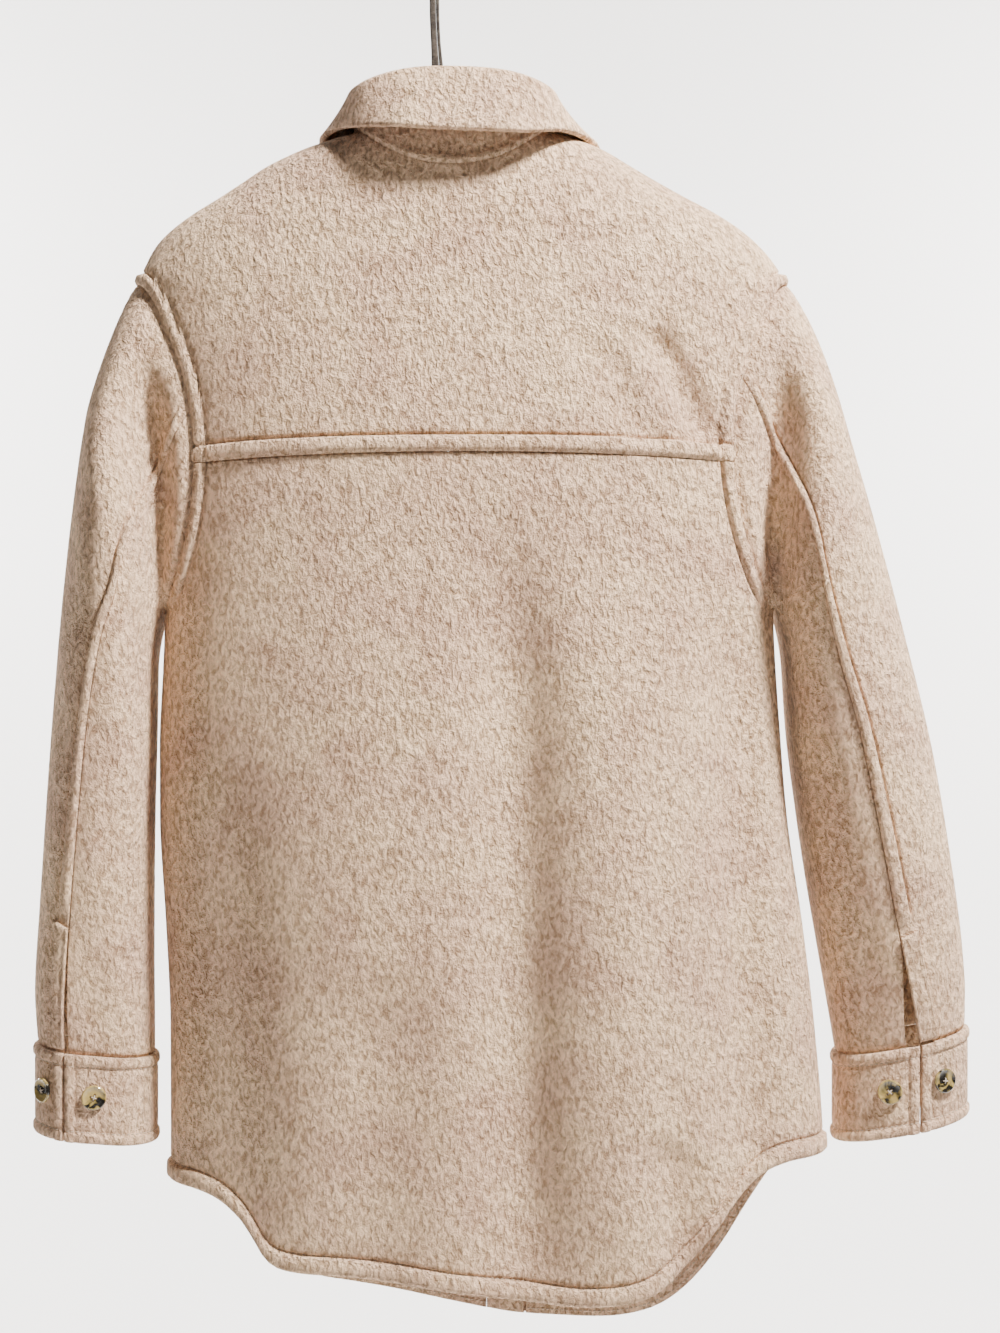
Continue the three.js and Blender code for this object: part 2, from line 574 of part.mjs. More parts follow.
// The neck seam of a front, as a height for each share of the way from the yoke seam to the band
function frontNeck(side) {
  const rows = [];
  const steps = 24;
  const start = sideOfFront(side);
  for (let i = 0; i <= steps; i += 1) {
    const mark = neckMark(side * mix(FRONT_NECK_ANGLE, NECK_BAND_ANGLE, i / steps));
    const end = frontAngle(side, PLACKET_HALF, mark.z);
    const whole = measured((k) => bodyPoint(mix(start(mark.z), end, k), mark.z)).length;
    const part = measured((k) => bodyPoint(mix(start(mark.z), mark.angle, k), mark.z)).length;
    rows.push({ share: i === 0 ? 0 : i === steps ? 1 : part / whole, z: mark.z });
  }
  return (share) => lookUp(rows, "share", share, "z");
}

function addFront(name, side) {
  const cells = bodyPanel({
    leftAngle: sideOfFront(side),
    rightAngle: (z) => frontAngle(side, PLACKET_HALF, z),
    topZ: frontNeck(side),
    bottomZ: (angle) => hemZ(FRONT_HEM, angle),
    columns: 11,
    rows: 18,
    crowd: 1.6,
    bands: { top: 0, bottom: HEM_WIDTH, left: 0, right: 0 },
  });
  addPanel(name, cells);
}

// A front band, a strip down the centre front; the upper one lies on the lower one
function addFrontBand(name, side, lift, from, to) {
  const cells = bodyPanel({
    leftAngle: (z) => frontAngle(side, from, z),
    rightAngle: (z) => frontAngle(side, to, z),
    topZ: () => NECK.front + 1.2,
    bottomZ: (angle) => hemZ(FRONT_HEM, angle),
    columns: 2,
    rows: 21,
    crowd: 1.3,
    bands: { top: 0, bottom: 0, left: 0, right: 0 },
    lift,
  });
  addPanel(name, cells);
}

// An angle round a sleeve as its place on the armhole: how far down from the shoulder, and whether in front
function armholePlace(angle) {
  const round = ((angle % 360) + 360) % 360;
  const front = round > 180;
  return { w: (front ? 360 - round : round) / 180, front };
}

// A point of a sleeve: angle 0 is the outer side, 90 the back, 180 the side against the body
function sleevePoint(side, angle, t) {
  const table = side > 0 ? RIGHT_SLEEVE : LEFT_SLEEVE;
  const at = (column) => lookUp(table, "t", t, column);
  const { w, front } = armholePlace(angle);
  const c = Math.cos(rad(angle));
  const s = Math.sin(rad(angle));
  const centre = (at("outer") + at("inner")) / 2;
  const half = Math.abs(at("outer") - at("inner")) / 2;
  const power = 2 / SLEEVE_SQUARENESS;
  const tube = new THREE.Vector3(
    centre + side * half * signedPower(c, power),
    SLEEVE_FORWARD * t - at("depth") * signedPower(s, power),
    mix(at("zInner"), at("zOuter"), (1 + c) / 2),
  );
  const blend = 1 - (1 - clamp01(t / SLEEVE_BLEND)) ** 2;
  const point = markPoint(armholeMark(side, w, front)).lerp(tube, blend);
  const near = Math.exp(-(((t - CREASE_AT) / CREASE_HALF) ** 2)) * smooth(t / CREASE_START);
  const beside = smooth((w - 0.22) / 0.22) * smooth((0.95 - w) / 0.35);
  point.y += (front ? -0.5 : 1) * CREASE_DEPTH * near * beside;
  point.z += UNDERARM_ARCH * Math.sin(Math.PI * clamp01(t / 0.05)) * smooth((w - 0.8) / 0.2);
  return point;
}

function sleeveNormal(side, angle, t) {
  const low = Math.max(0, t - 0.004);
  const around = sleevePoint(side, angle + 1, t).sub(sleevePoint(side, angle - 1, t));
  const along = sleevePoint(side, angle, t + 0.004).sub(sleevePoint(side, angle, low));
  const normal = around.cross(along).normalize().multiplyScalar(side);
  normal.z *= smooth((1 - t) / 0.07);
  normal.normalize();
  if (t >= SEAM_EASE) return normal;
  const { w, front } = armholePlace(angle);
  const mark = armholeMark(side, w, front);
  return bodyNormal(mark.angle, mark.z).lerp(normal, smooth(t / SEAM_EASE)).normalize();
}

// One panel of a sleeve between two seams
function sleeveCells(side, from, to, columns, bandAtEnd, rows) {
  return rows.map((t) => {
    const a = from(t);
    const b = to(t);
    const curve = measured((k) => sleevePoint(side, mix(a, b, k), t));
    const settled = smooth(t / SLEEVE_SETTLED);
    const gap = (SLEEVE_SEAM / 2) * mix(HEAD_SEAM_EASE, 1, settled);
    const wall = CLOTH * mix(HEAD_WALL_SHARE, 1, settled);
    return stops(curve.length, columns, 0, bandAtEnd).map((d) => {
      const place = Math.min(curve.length - gap, Math.max(gap, d));
      const angle = mix(a, b, curve.at(place));
      const normal = sleeveNormal(side, angle, t);
      const point = sleevePoint(side, angle, t);
      if (t === 0) {
        const ahead = sleevePoint(side, angle, rows[1]).sub(point);
        const aside = ahead.clone().addScaledVector(normal, -ahead.dot(normal)).normalize();
        const lower = smooth((armholePlace(angle).w - 0.5) / 0.3);
        point.addScaledVector(aside, mix(ARMHOLE_CLEAR, UNDERARM_CLEAR, lower));
        point.addScaledVector(normal, UNDERARM_LIFT * lower);
        const along = sleevePoint(side, angle, rows[1]).sub(point).normalize();
        normal.addScaledVector(along, -normal.dot(along)).normalize();
      }
      const fade = smooth((VENT_TOP - 0.01 - t) / 0.02) * settled;
      return { point, normal, wall, raise: bandAtEnd ? fade * bandHeight(curve.length - d, bandAtEnd) : 0 };
    });
  });
}

const seamAngle = (side, column) => (t) => lookUp(side > 0 ? RIGHT_SLEEVE : LEFT_SLEEVE, "t", t, column);

function addSleeve(word, side) {
  const back = seamAngle(side, "rear");
  const under = seamAngle(side, "under");
  const ventEdge = (t) => back(t) + 1.6 * VENT_GAP * smooth((t - VENT_TOP) / (1 - VENT_TOP));
  addPanel(`sleeve_under_${word}`, sleeveCells(side, ventEdge, under, 10, 0, SLEEVE_ROWS));
  const wrapped = (t) => back(t) + 360;
  addPanel(`sleeve_upper_${word}`, sleeveCells(side, under, wrapped, 17, FELL_WIDTH - 1, SLEEVE_ROWS));
  addVent(word, side, back);
}

// The narrow strip that faces the sleeve's opening above the cuff
function addVent(word, side, back) {
  const rows = [0, 0.25, 0.5, 0.75, 1].map((k) => mix(VENT_TOP + 0.004, 0.994, k));
  const cells = rows.map((t) => {
    const curve = measured((k) => sleevePoint(side, mix(back(t) - 40, back(t), k), t));
    return [VENT_WIDTH, VENT_WIDTH * 0.84, VENT_WIDTH * 0.5, VENT_WIDTH * 0.16, 0].map((d) => {
      const angle = mix(back(t) - 40, back(t), curve.at(curve.length - d));
      const normal = sleeveNormal(side, angle, t);
      const point = sleevePoint(side, angle, t).addScaledVector(normal, VENT_WALL + 2 * SEAM_GAP);
      const edge = d === 0 || d === VENT_WIDTH;
      return { point, normal, raise: edge ? -0.7 : 0 };
    });
  });
  addPanel(`sleeve_vent_${word}`, cells, VENT_WALL);
}

function cuffPoint(side, angle, down) {
  const end = sleevePoint(side, angle, 1);
  const around = sleevePoint(side, angle + 1, 1).sub(sleevePoint(side, angle - 1, 1));
  const out = new THREE.Vector3(-around.y, around.x, 0).normalize().multiplyScalar(side > 0 ? -1 : 1);
  const middle = sleevePoint(side, 0, 1).add(sleevePoint(side, 180, 1)).multiplyScalar(0.5);
  if (out.dot(end.clone().sub(middle)) < 0) out.negate();
  const point = end.clone().addScaledVector(out, CUFF_PROUD);
  point.z -= 2 * SEAM_GAP + down;
  return { point, out };
}

function addCuff(word, side) {
  const open = seamAngle(side, "rear")(1);
  const rows = stops(CUFF_HEIGHT, 2, CUFF_BAND, CUFF_BAND);
  const curve = measured((k) => cuffPoint(side, open + 360 * k, 0).point, 72);
  const span = curve.length - CUFF_GAP;
  const cells = rows.map((down) => stops(span, 14, CUFF_BAND, CUFF_BAND).map((d) => {
    const { point, out } = cuffPoint(side, open + 360 * curve.at(d + CUFF_GAP / 2), down);
    const raise = Math.max(
      bandHeight(down, CUFF_BAND), bandHeight(CUFF_HEIGHT - down, CUFF_BAND),
      bandHeight(d, CUFF_BAND), bandHeight(span - d, CUFF_BAND),
    );
    return { point, normal: out, raise: raise * CUFF_BAND_SHARE };
  }));
  addPanel(`cuff_${word}`, cells, CUFF_WALL);
  [["main", CUFF_BUTTON_IN], ["flap", curve.length - CUFF_BUTTON_IN * 0.8]].forEach(([place, d]) => {
    const { point, out } = cuffPoint(side, open + 360 * curve.at(d), CUFF_HEIGHT * CUFF_BUTTON_DOWN);
    addButton(`cuff_button_${place}_${word}`, point, out);
  });
}

// A turned button with a dished face, lying on a surface
function addButton(name, point, out) {
  const { radius, height, dish, rim } = BUTTON;
  const profile = [
    [0, 0], [radius * 0.82, 0], [radius, height * 0.55],
    [radius - rim * 0.6, height], [radius - rim * 1.9, height - dish], [0, height - dish],
  ].map(([x, y]) => new THREE.Vector2(x, y));
  const geometry = new THREE.LatheGeometry(profile, 14);
  const turn = new THREE.Quaternion().setFromUnitVectors(new THREE.Vector3(0, 1, 0), out);
  geometry.applyQuaternion(turn);
  const seat = point.clone().addScaledVector(out, SEAM_GAP);
  geometry.translate(seat.x, seat.y, seat.z);
  const material = new THREE.MeshStandardMaterial({ color: BUTTON_COLOUR, roughness: 0.25, metalness: 0 });
  addPiece(name, geometry, material);
}

function addFrontButtons() {
  FRONT_BUTTONS.forEach((z, i) => {
    const angle = frontAngle(1, 0, z);
    const out = bodyNormal(angle, z);
    const point = bodyPoint(angle, z).addScaledVector(out, CLOTH + SEAM_GAP);
    addButton(`front_button_${i + 1}`, point, out);
  });
}

// The neck seam as a point with its outward direction
function neckFrame(angle) {
  const point = markPoint(neckMark(angle));
  const along = markPoint(neckMark(angle + 1)).sub(markPoint(neckMark(angle - 1)));
  const out = new THREE.Vector3(along.y, -along.x, 0).normalize();
  const middle = new THREE.Vector3(NECK.centre, 0, point.z);
  if (out.dot(point.clone().sub(middle)) < 0) out.negate();
  return { point, out };
}

// Lifts a point clear of the body's outer face, the shorter way: upwards or away in depth
function clearOfBody(point, margin) {
  const left = lookUp(BODY, "z", point.z, "left");
  const surfaceDepth = (z) => {
    const l = lookUp(BODY, "z", z, "left");
    const r = lookUp(BODY, "z", z, "right");
    const share = Math.abs(point.x - (l + r) / 2) / ((r - l) / 2 + margin);
    if (share >= 1) return -Infinity;
    const depth = lookUp(BODY, "z", z, point.y < 0 ? "back" : "front");
    return (depth + margin) * (1 - share ** SQUARENESS) ** (1 / SQUARENESS);
  };
  const needed = surfaceDepth(point.z);
  if (left > point.x || needed <= Math.abs(point.y)) return point;
  const push = needed - Math.abs(point.y);
  let rise = 0;
  while (rise < push && surfaceDepth(point.z + rise) > Math.abs(point.y)) rise += 0.5;
  if (rise < push) point.z += rise;
  else point.y = Math.sign(point.y || 1) * needed;
  return point;
}

const collarAngles = () => {
  const angles = [];
  for (let i = 0; i <= COLLAR_STEPS; i += 1) angles.push(mix(-COLLAR_END, COLLAR_END, i / COLLAR_STEPS));
  return angles;
};

function addCollarStand() {
  const cells = [0, 0.33, 0.67, 1].map((k) => collarAngles().map((angle) => {
    const { point, out } = neckFrame(angle);
    const height = (lookUp(COLLAR, "angle", angle, "roll") - point.z) * STAND_SHARE;
    const up = mix(mix(2 * SEAM_GAP, STAND_CLEAR, smooth((Math.abs(angle) - 60) / 60)), height, k);
    point.z += up;
    point.addScaledVector(out, -STAND_LEAN * up);
    return { point, normal: out, raise: 0 };
  }));
  addPanel("collar_stand", cells);
}

// The fall rises from the stand, rolls over and comes down outside it
function fallPath(angle) {
  const { point, out } = neckFrame(angle);
  const roll = lookUp(COLLAR, "angle", angle, "roll");
  const height = roll - point.z;
  const edge = new THREE.Vector3(
    lookUp(COLLAR, "angle", angle, "x"),
    lookUp(COLLAR, "angle", angle, "y"),
    lookUp(COLLAR, "angle", angle, "z"),
  );
  const up = new THREE.Vector3(0, 0, 1);
  const start = height * STAND_SHARE + 3 * SEAM_GAP;
  const shift = -STAND_LEAN * start - CLOTH / 2;
  const at = (offset, rise) => point.clone().addScaledVector(out, offset).addScaledVector(up, rise);
  const top = height - ROLL_RADIUS - COLLAR_WALL / 2;
  const path = [at(shift, start), at(shift, mix(start, top, 0.6))];
  [0, 45, 90, 135].forEach((turn) => {
    const dx = ROLL_RADIUS * (1 - Math.cos(rad(turn)));
    path.push(at(shift + dx, Math.max(top, start + 1.5) + ROLL_RADIUS * Math.sin(rad(turn))));
  });
  const last = path[path.length - 1];
  const control = at(shift + ROLL_RADIUS * 2.1, top - 2);
  [0.25, 0.5, 0.75, 0.93, 1].forEach((k) => {
    const a = last.clone().lerp(control, k);
    const b = control.clone().lerp(edge, k);
    path.push(clearOfBody(a.lerp(b, k), COLLAR_WALL / 2 + FALL_CLEAR));
  });
  return path;
}

function addCollarFall() {
  const paths = collarAngles().map(fallPath);
  const cells = paths.map((path, i) => path.map((point, j) => {
    const along = path[Math.min(path.length - 1, j + 1)].clone().sub(path[Math.max(0, j - 1)]);
    const across = paths[Math.min(paths.length - 1, i + 1)][j].clone().sub(paths[Math.max(0, i - 1)][j]);
    const normal = across.cross(along).normalize();
    const edge = j === path.length - 1 ? -0.9 : 0;
    const raise = COLLAR_WALL / 2 + edge;
    return { point, normal, raise, wall: raise };
  }));
  addPanel("collar_fall", cells);
}

// The height of the shoulder ridge over a place across the body
function ridgeZ(x) {
  const column = x < NECK.centre ? "left" : "right";
  let high = BODY[0].z;
  let low = SHOULDER_TIP_Z;
  for (let i = 0; i < 30; i += 1) {
    const z = (high + low) / 2;
    if (Math.abs(lookUp(BODY, "z", z, column) - NECK.centre) < Math.abs(x - NECK.centre)) high = z;
    else low = z;
  }
  return (high + low) / 2;
}

const flock = new THREE.MeshStandardMaterial({ color: HANGER_COLOUR, roughness: 0.95, metalness: 0 });

function flatPiece(name, shape, thick) {
  const geometry = new THREE.ExtrudeGeometry(shape, { depth: thick, bevelEnabled: false, curveSegments: 8 });
  geometry.rotateX(Math.PI / 2);
  geometry.translate(0, thick / 2, 0);
  const position = geometry.getAttribute("position");
  const merged = new THREE.BufferGeometry();
  merged.setAttribute("position", position);
  merged.setIndex([...Array(position.count).keys()]);
  merged.computeVertexNormals();
  addPiece(name, merged, flock);
}

function addHanger() {
  const { centre, left, right, thick, arm, barZ, bar, shoulderGap, steps, neckDrop, corner } = HANGER;
  const lowest = NECK.side - neckDrop;
  const top = [];
  for (let i = 0; i <= steps; i += 1) {
    const x = mix(left, right, i / steps);
    const underShoulder = Math.abs(x - NECK.centre) > NECK.halfWidth;
    if (underShoulder) {
      const slope = (ridgeZ(x + 2) - ridgeZ(x - 2)) / 4;
      top.push([x, ridgeZ(x) - shoulderGap * Math.hypot(1, slope)]);
    } else {
      const peak = clamp01(NECK_FLAT - Math.abs(x - centre) / NECK_SPAN);
      top.push([x, mix(lowest, HOOK.base, peak)]);
    }
  }
  const shape = new THREE.Shape();
  top.forEach(([x, z], i) => (i ? shape.lineTo(x, z) : shape.moveTo(x, z)));
  shape.lineTo(right + 4, barZ + corner);
  shape.quadraticCurveTo(right + 2, barZ, right - corner, barZ);
  shape.lineTo(left + corner, barZ);
  shape.quadraticCurveTo(left - 2, barZ, left - 4, barZ + corner);
  shape.closePath();
  const inside = top.filter(([x]) => x > left + 20 && x < right - 20).map(([x, z]) => [x, z - arm]);
  const floor = barZ + bar;
  const hole = new THREE.Path();
  hole.moveTo(right - corner, floor + 6);
  inside.reverse().forEach(([x, z]) => hole.lineTo(x, Math.max(z, floor + 3)));
  hole.lineTo(left + corner, floor + 6);
  hole.quadraticCurveTo(left + corner + 1, floor, left + corner + 10, floor);
  hole.lineTo(right - corner - 10, floor);
  hole.quadraticCurveTo(right - corner - 1, floor, right - corner, floor + 6);
  shape.holes.push(hole);
  flatPiece("hanger", shape, thick);
}

// The hook: a strap that leans a little and turns over the rail
function addHook() {
  const { wide, root, deep, radius, base, straightTo, tailAngle } = HOOK;
  const line = [];
  const steps = 5;
  const centreZ = wide / 2 - radius;
  for (let i = 0; i < steps; i += 1) {
    const k = i / steps;
    const z = mix(base + SEAM_GAP, straightTo, k);
    const x = mix(HANGER.centre, -radius, smooth(k));
    line.push({ x, z, half: mix(root, wide, smooth(k * 1.4)) / 2 });
  }
  for (let turn = 180; turn >= tailAngle; turn -= 15) {
    line.push({ x: radius * Math.cos(rad(turn)), z: centreZ + radius * Math.sin(rad(turn)), half: wide / 2 });
  }
  const sides = line.map((p, i) => {
    const a = line[Math.max(0, i - 1)];
    const b = line[Math.min(line.length - 1, i + 1)];
    const size = Math.hypot(b.x - a.x, b.z - a.z);
    return { x: (-(b.z - a.z) / size) * p.half, z: ((b.x - a.x) / size) * p.half };
  });
  sides[0] = { x: -line[0].half, z: 0 };
  const shape = new THREE.Shape();
  line.forEach((p, i) => {
    const x = p.x + sides[i].x;
    const z = p.z + sides[i].z;
    if (i) shape.lineTo(x, z);
    else shape.moveTo(x, z);
  });
  [...line].reverse().forEach((p, j) => {
    const i = line.length - 1 - j;
    shape.lineTo(p.x - sides[i].x, p.z - sides[i].z);
  });
  shape.closePath();
  flatPiece("hanger_hook", shape, deep);
}

addYoke();
addBack();
addFront("front_left", -1);
addFront("front_right", 1);
addFrontBand("front_band_left", -1, 0, PLACKET_HALF - SEAM_GAP, 3 * SEAM_GAP - PLACKET_HALF);
addFrontBand("front_band_right", 1, CLOTH + SEAM_GAP, PLACKET_HALF, -PLACKET_HALF);
addFrontButtons();
addCollarStand();
addCollarFall();
addSleeve("left", -1);
addSleeve("right", 1);
addCuff("left", -1);
addCuff("right", 1);
addHanger();
addHook();

export default garment;
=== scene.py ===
# %% [markdown]
# # A felted wool shirt jacket on its hanger
# The object is a boxy shirt jacket of boiled wool that hangs by a slim flocked hanger, seen from the
# back. A real one is cut from flat cloth, sewn with raised felled seams and hung up, so its form comes
# from the hanger's slope, the cloth's weight and a few soft folds. Sculpting or a cloth simulation
# could give that form too. Here each sewn piece is a grid of points on one measured surface, because
# then neighbouring pieces meet at their seams exactly and every size can be read and changed.

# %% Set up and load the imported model
import math
import bpy
import bmesh
import numpy as np
from mathutils import Matrix, Vector


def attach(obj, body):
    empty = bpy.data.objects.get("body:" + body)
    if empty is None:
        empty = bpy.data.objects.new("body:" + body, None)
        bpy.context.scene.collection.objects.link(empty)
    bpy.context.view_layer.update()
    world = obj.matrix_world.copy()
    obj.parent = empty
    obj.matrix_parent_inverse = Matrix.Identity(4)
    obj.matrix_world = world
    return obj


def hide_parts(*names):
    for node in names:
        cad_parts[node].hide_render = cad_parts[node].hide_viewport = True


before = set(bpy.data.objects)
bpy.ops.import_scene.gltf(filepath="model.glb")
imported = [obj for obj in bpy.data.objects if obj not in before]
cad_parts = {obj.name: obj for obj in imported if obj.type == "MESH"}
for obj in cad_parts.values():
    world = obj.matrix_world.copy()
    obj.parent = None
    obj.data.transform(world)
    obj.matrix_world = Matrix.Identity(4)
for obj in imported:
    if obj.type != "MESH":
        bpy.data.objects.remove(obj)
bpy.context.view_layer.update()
MM = 0.001


def link(obj):
    bpy.context.scene.collection.objects.link(obj)
    return obj


# %% [markdown]
# ## The camera
# The photograph was taken level, straight at the back, with the picture's middle about half a metre
# below the rail. The distance of 1.5 m is a usual one for such a picture, and the lens follows from how
# many millimetres of the garment one pixel covers.

# %% Place the camera
CAMERA_AT = (0.0275, -1.5, -0.505)
SEEN_HEIGHT = 0.9643  # height of the picture in the plane of the hanger, in metres
SENSOR = 36.0

camera_data = bpy.data.cameras.new("camera")
camera_data.sensor_fit = "VERTICAL"
camera_data.sensor_height = SENSOR
camera_data.lens = SENSOR * -CAMERA_AT[1] / SEEN_HEIGHT
camera_data.clip_end = 20
camera = link(bpy.data.objects.new("camera", camera_data))
camera.location = CAMERA_AT
camera.rotation_euler = (math.pi / 2, 0, 0)
bpy.context.scene.camera = camera
print("lens:", round(camera_data.lens, 2), "mm")

# %% [markdown]
# ## The measured body of the garment
# A boxy jacket on a hanger is a flattened tube. Each row of the table is one level section: how far its
# sides reach, how deep it is behind and in front, and how far it is turned. A superellipse joins the four
# sides with softer or squarer corners as needed. The folds are soft troughs that run down between two
# heights. All panels read the same surface, so no panel can come through its neighbour.

# %% Sizes and tables of the body, in millimetres
CLOTH = 3.0
SEAM_GAP = 0.3
FELL = 2.9
FELL_WIDTH = 12
HEM_WIDTH = 13
ARMHOLE_FELL = 10
SQUARENESS = 2.35
CAMBER = 3
CAMBER_LEVEL = 0.3
SIDE_CALM = 2.2
SHOULDER_TIP_Z = -231
UNDERARM_Z = -467
YOKE_SEAM_Z = -362
YOKE_SEAM_RISE = 5
ARMHOLE_INSET = 37
FRONT_SCOOP = 1.16
FRONT_YOKE_DROP = 34
FRONT_NECK_ANGLE = 118
PLACKET_HALF = 15
NECK_BAND_ANGLE = 167
NECK_HALF_WIDTH = 70
NECK_CENTRE = -6
NECK_BACK_Z = -155
NECK_SIDE_Z = -124
NECK_FRONT_Z = -200
FOLD_FADE_IN = 0.25
FOLD_FADE_OUT = 0.3
FOLD_REACH = 1.12
ARMHOLE_CURVE = 0.6
ARMHOLE_LEAN = 0.45
NECK_CURVE_BACK = 2.2
NECK_CURVE_FRONT = 0.62
ARC_STEPS = 28  # points used to measure one row of cloth


def columns(names, rows):
    """A short table as named columns."""
    return dict(zip(names.split(), np.array(rows, float).T))


BODY = columns("z left right back front turn", [
    (-100, -60, 48, 52, 52, 0.0),
    (-124, -76, 64, 54, 54, 0.0),
    (-130, -99, 89, 55, 55, 0.0),
    (-136, -118, 105, 56, 56, 0.0),
    (-147, -142, 124, 57, 58, 0.0),
    (-158, -159, 143, 58, 59, 0.0),
    (-169, -176, 163, 59, 60, 0.0),
    (-180, -194, 184, 60, 61, 0.0),
    (-191, -209, 201, 61, 61, 0.0),
    (-202, -220, 214, 61, 62, 0.0),
    (-216, -228, 226, 62, 62, 0.0),
    (-231, -234, 234, 63, 63, 0.0),
    (-262, -234, 235, 66, 65, 0.005),
    (-300, -228, 230, 70, 67, 0.01),
    (-362, -221, 226, 74, 70, 0.02),
    (-467, -215, 224, 77, 74, 0.03),
    (-560, -219, 229, 79, 77, 0.045),
    (-620, -219, 234, 80, 79, 0.055),
    (-690, -215, 244, 81, 80, 0.065),
    (-760, -212, 252, 81, 81, 0.075),
    (-840, -212, 258, 81, 82, 0.085),
    (-1010, -214, 262, 82, 84, 0.1),
])
# Folds: x where each starts and ends, half width, depth (negative stands out), heights it runs between
BACK_FOLDS = columns("top bottom width depth start end", [
    (34, 52, 28, 15, -380, -960),
    (104, 128, 38, -8, -420, -960),
    (186, 206, 20, 12, -430, -880),
    (-70, -74, 60, -4, -400, -960),
    (-158, -150, 26, 4, -560, -900),
    (132, 172, 13, 9, -262, -348),
    (90, 128, 15, 4, -270, -350),
    (146, 162, 16, 9, -820, -935),
    (-40, -60, 34, 6, -700, -990),
])
FRONT_FOLDS = columns("top bottom width depth start end", [
    (-96, -118, 26, 9, -380, -990),
    (-150, -168, 24, -4, -470, -940),
    (112, 138, 28, 9, -400, -990),
    (170, 196, 22, -4, -480, -930),
])
BACK_HEM = columns("x z", [
    (-215, -875), (-200, -876), (-183, -877), (-167, -882), (-152, -893), (-141, -907),
    (-133, -919), (-120, -925), (-80, -927), (-40, -930), (0, -935), (40, -940),
    (75, -942), (105, -940), (128, -934), (148, -921), (170, -895), (188, -872),
    (206, -856), (224, -849), (240, -848), (262, -848),
])
FRONT_HEM = columns("x z", [
    (-215, -875), (-200, -880), (-180, -893), (-158, -920), (-138, -948), (-118, -965),
    (-90, -973), (-50, -981), (0, -991), (40, -997), (90, -998), (120, -995),
    (148, -984), (172, -964), (194, -935), (212, -903), (230, -872), (244, -856),
    (262, -848),
])
print("body sections:", len(BODY["z"]), "folds:", len(BACK_FOLDS["top"]) + len(FRONT_FOLDS["top"]))

# %% [markdown]
# ## Points of the body and its seam lines
# A table is read on a smooth curve between its rows. A point of the body is found from an angle round it
# and a height, and each seam is a line on that surface: the armholes, the neck, the hems.

# %% Functions that read the tables and give points of the body
def mix(a, b, k):
    return a + (b - a) * k


def smooth(k):
    k = np.clip(k, 0, 1)
    return k * k * (3 - 2 * k)


def look_up(table, key, value, column):
    """Reads a table on a smooth curve that never overshoots its rows."""
    x = table[key]
    y = table[column]
    if x[-1] < x[0]:
        x = x[::-1]
        y = y[::-1]
    chord = np.diff(y) / np.diff(x)
    slope = np.concatenate([chord[:1], (y[2:] - y[:-2]) / (x[2:] - x[:-2]), chord[-1:]])
    value = np.asarray(value, float)
    i = np.clip(np.searchsorted(x, value) - 1, 0, len(x) - 2)

    def limited(s):
        return np.where(s * chord[i] <= 0, 0, np.sign(s) * np.minimum(abs(s), 3 * abs(chord[i])))

    width = x[i + 1] - x[i]
    k = np.clip((value - x[i]) / width, 0, 1)
    m0 = limited(slope[i]) * width
    m1 = limited(slope[i + 1]) * width
    ends = (2 * k**3 - 3 * k**2 + 1) * y[i] + (3 * k**2 - 2 * k**3) * y[i + 1]
    return ends + (k**3 - 2 * k**2 + k) * m0 + (k**3 - k**2) * m1


def signed_power(value, power):
    return np.sign(value) * np.abs(value) ** power


def unit(v):
    return v / np.maximum(np.linalg.norm(v, axis=-1, keepdims=True), 1e-9)


def fold_depth(folds, x, z):
    total = np.zeros(np.broadcast(x, z).shape)
    for top, bottom, width, depth, start, end in zip(*folds.values()):
        along = (z - start) / (end - start)
        fade = smooth(along / FOLD_FADE_IN) * smooth((FOLD_REACH - along) / FOLD_FADE_OUT)
        centre = mix(top, bottom, np.clip(along, 0, 1))
        total += depth * fade * np.exp(-(((x - centre) / width) ** 2))
    return total


def body_sides(z):
    """Middle and half width of the body at a height."""
    left = look_up(BODY, "z", z, "left")
    right = look_up(BODY, "z", z, "right")
    return (left + right) / 2, (right - left) / 2


def body_depth(z, behind):
    return np.where(behind, look_up(BODY, "z", z, "back"), look_up(BODY, "z", z, "front"))


def body_point(angle, z):
    """A point of the body: angle 0 is the centre back, 90 the right side, -90 the left side."""
    angle, z = np.broadcast_arrays(np.asarray(angle, float), np.asarray(z, float))
    centre, half = body_sides(z)
    turn = look_up(BODY, "z", z, "turn")
    s = np.sin(np.radians(angle))
    c = np.cos(np.radians(angle))
    across = half * signed_power(s, 2 / SQUARENESS)
    y = -body_depth(z, c >= 0) * signed_power(c, 2 / SQUARENESS)
    calm = np.minimum(1, np.abs(c) * SIDE_CALM) ** 2
    behind = fold_depth(BACK_FOLDS, centre + across, z) + CAMBER * ((across / half) ** 2 - CAMBER_LEVEL)
    ahead = -fold_depth(FRONT_FOLDS, centre + across, z)
    y = y + calm * np.where(c >= 0, behind, ahead)
    return np.stack([centre + across + turn * y, y - turn * across, z], -1)


def body_normal(angle, z, step=0.6):
    da = body_point(angle + step, z) - body_point(angle - step, z)
    dz = body_point(angle, z + step) - body_point(angle, z - step)
    return unit(np.cross(da, dz))


def angle_at(across, z):
    """The body's angle at a place across its back."""
    centre, half = body_sides(z)
    share = np.clip((across - centre) / half, -1, 1)
    return np.degrees(np.arcsin(signed_power(share, SQUARENESS / 2)))


def z_to_armhole(z):
    drop = (z - SHOULDER_TIP_Z) / (UNDERARM_Z - SHOULDER_TIP_Z)
    return np.arccos(np.clip(1 - 2 * drop, -1, 1)) / math.pi


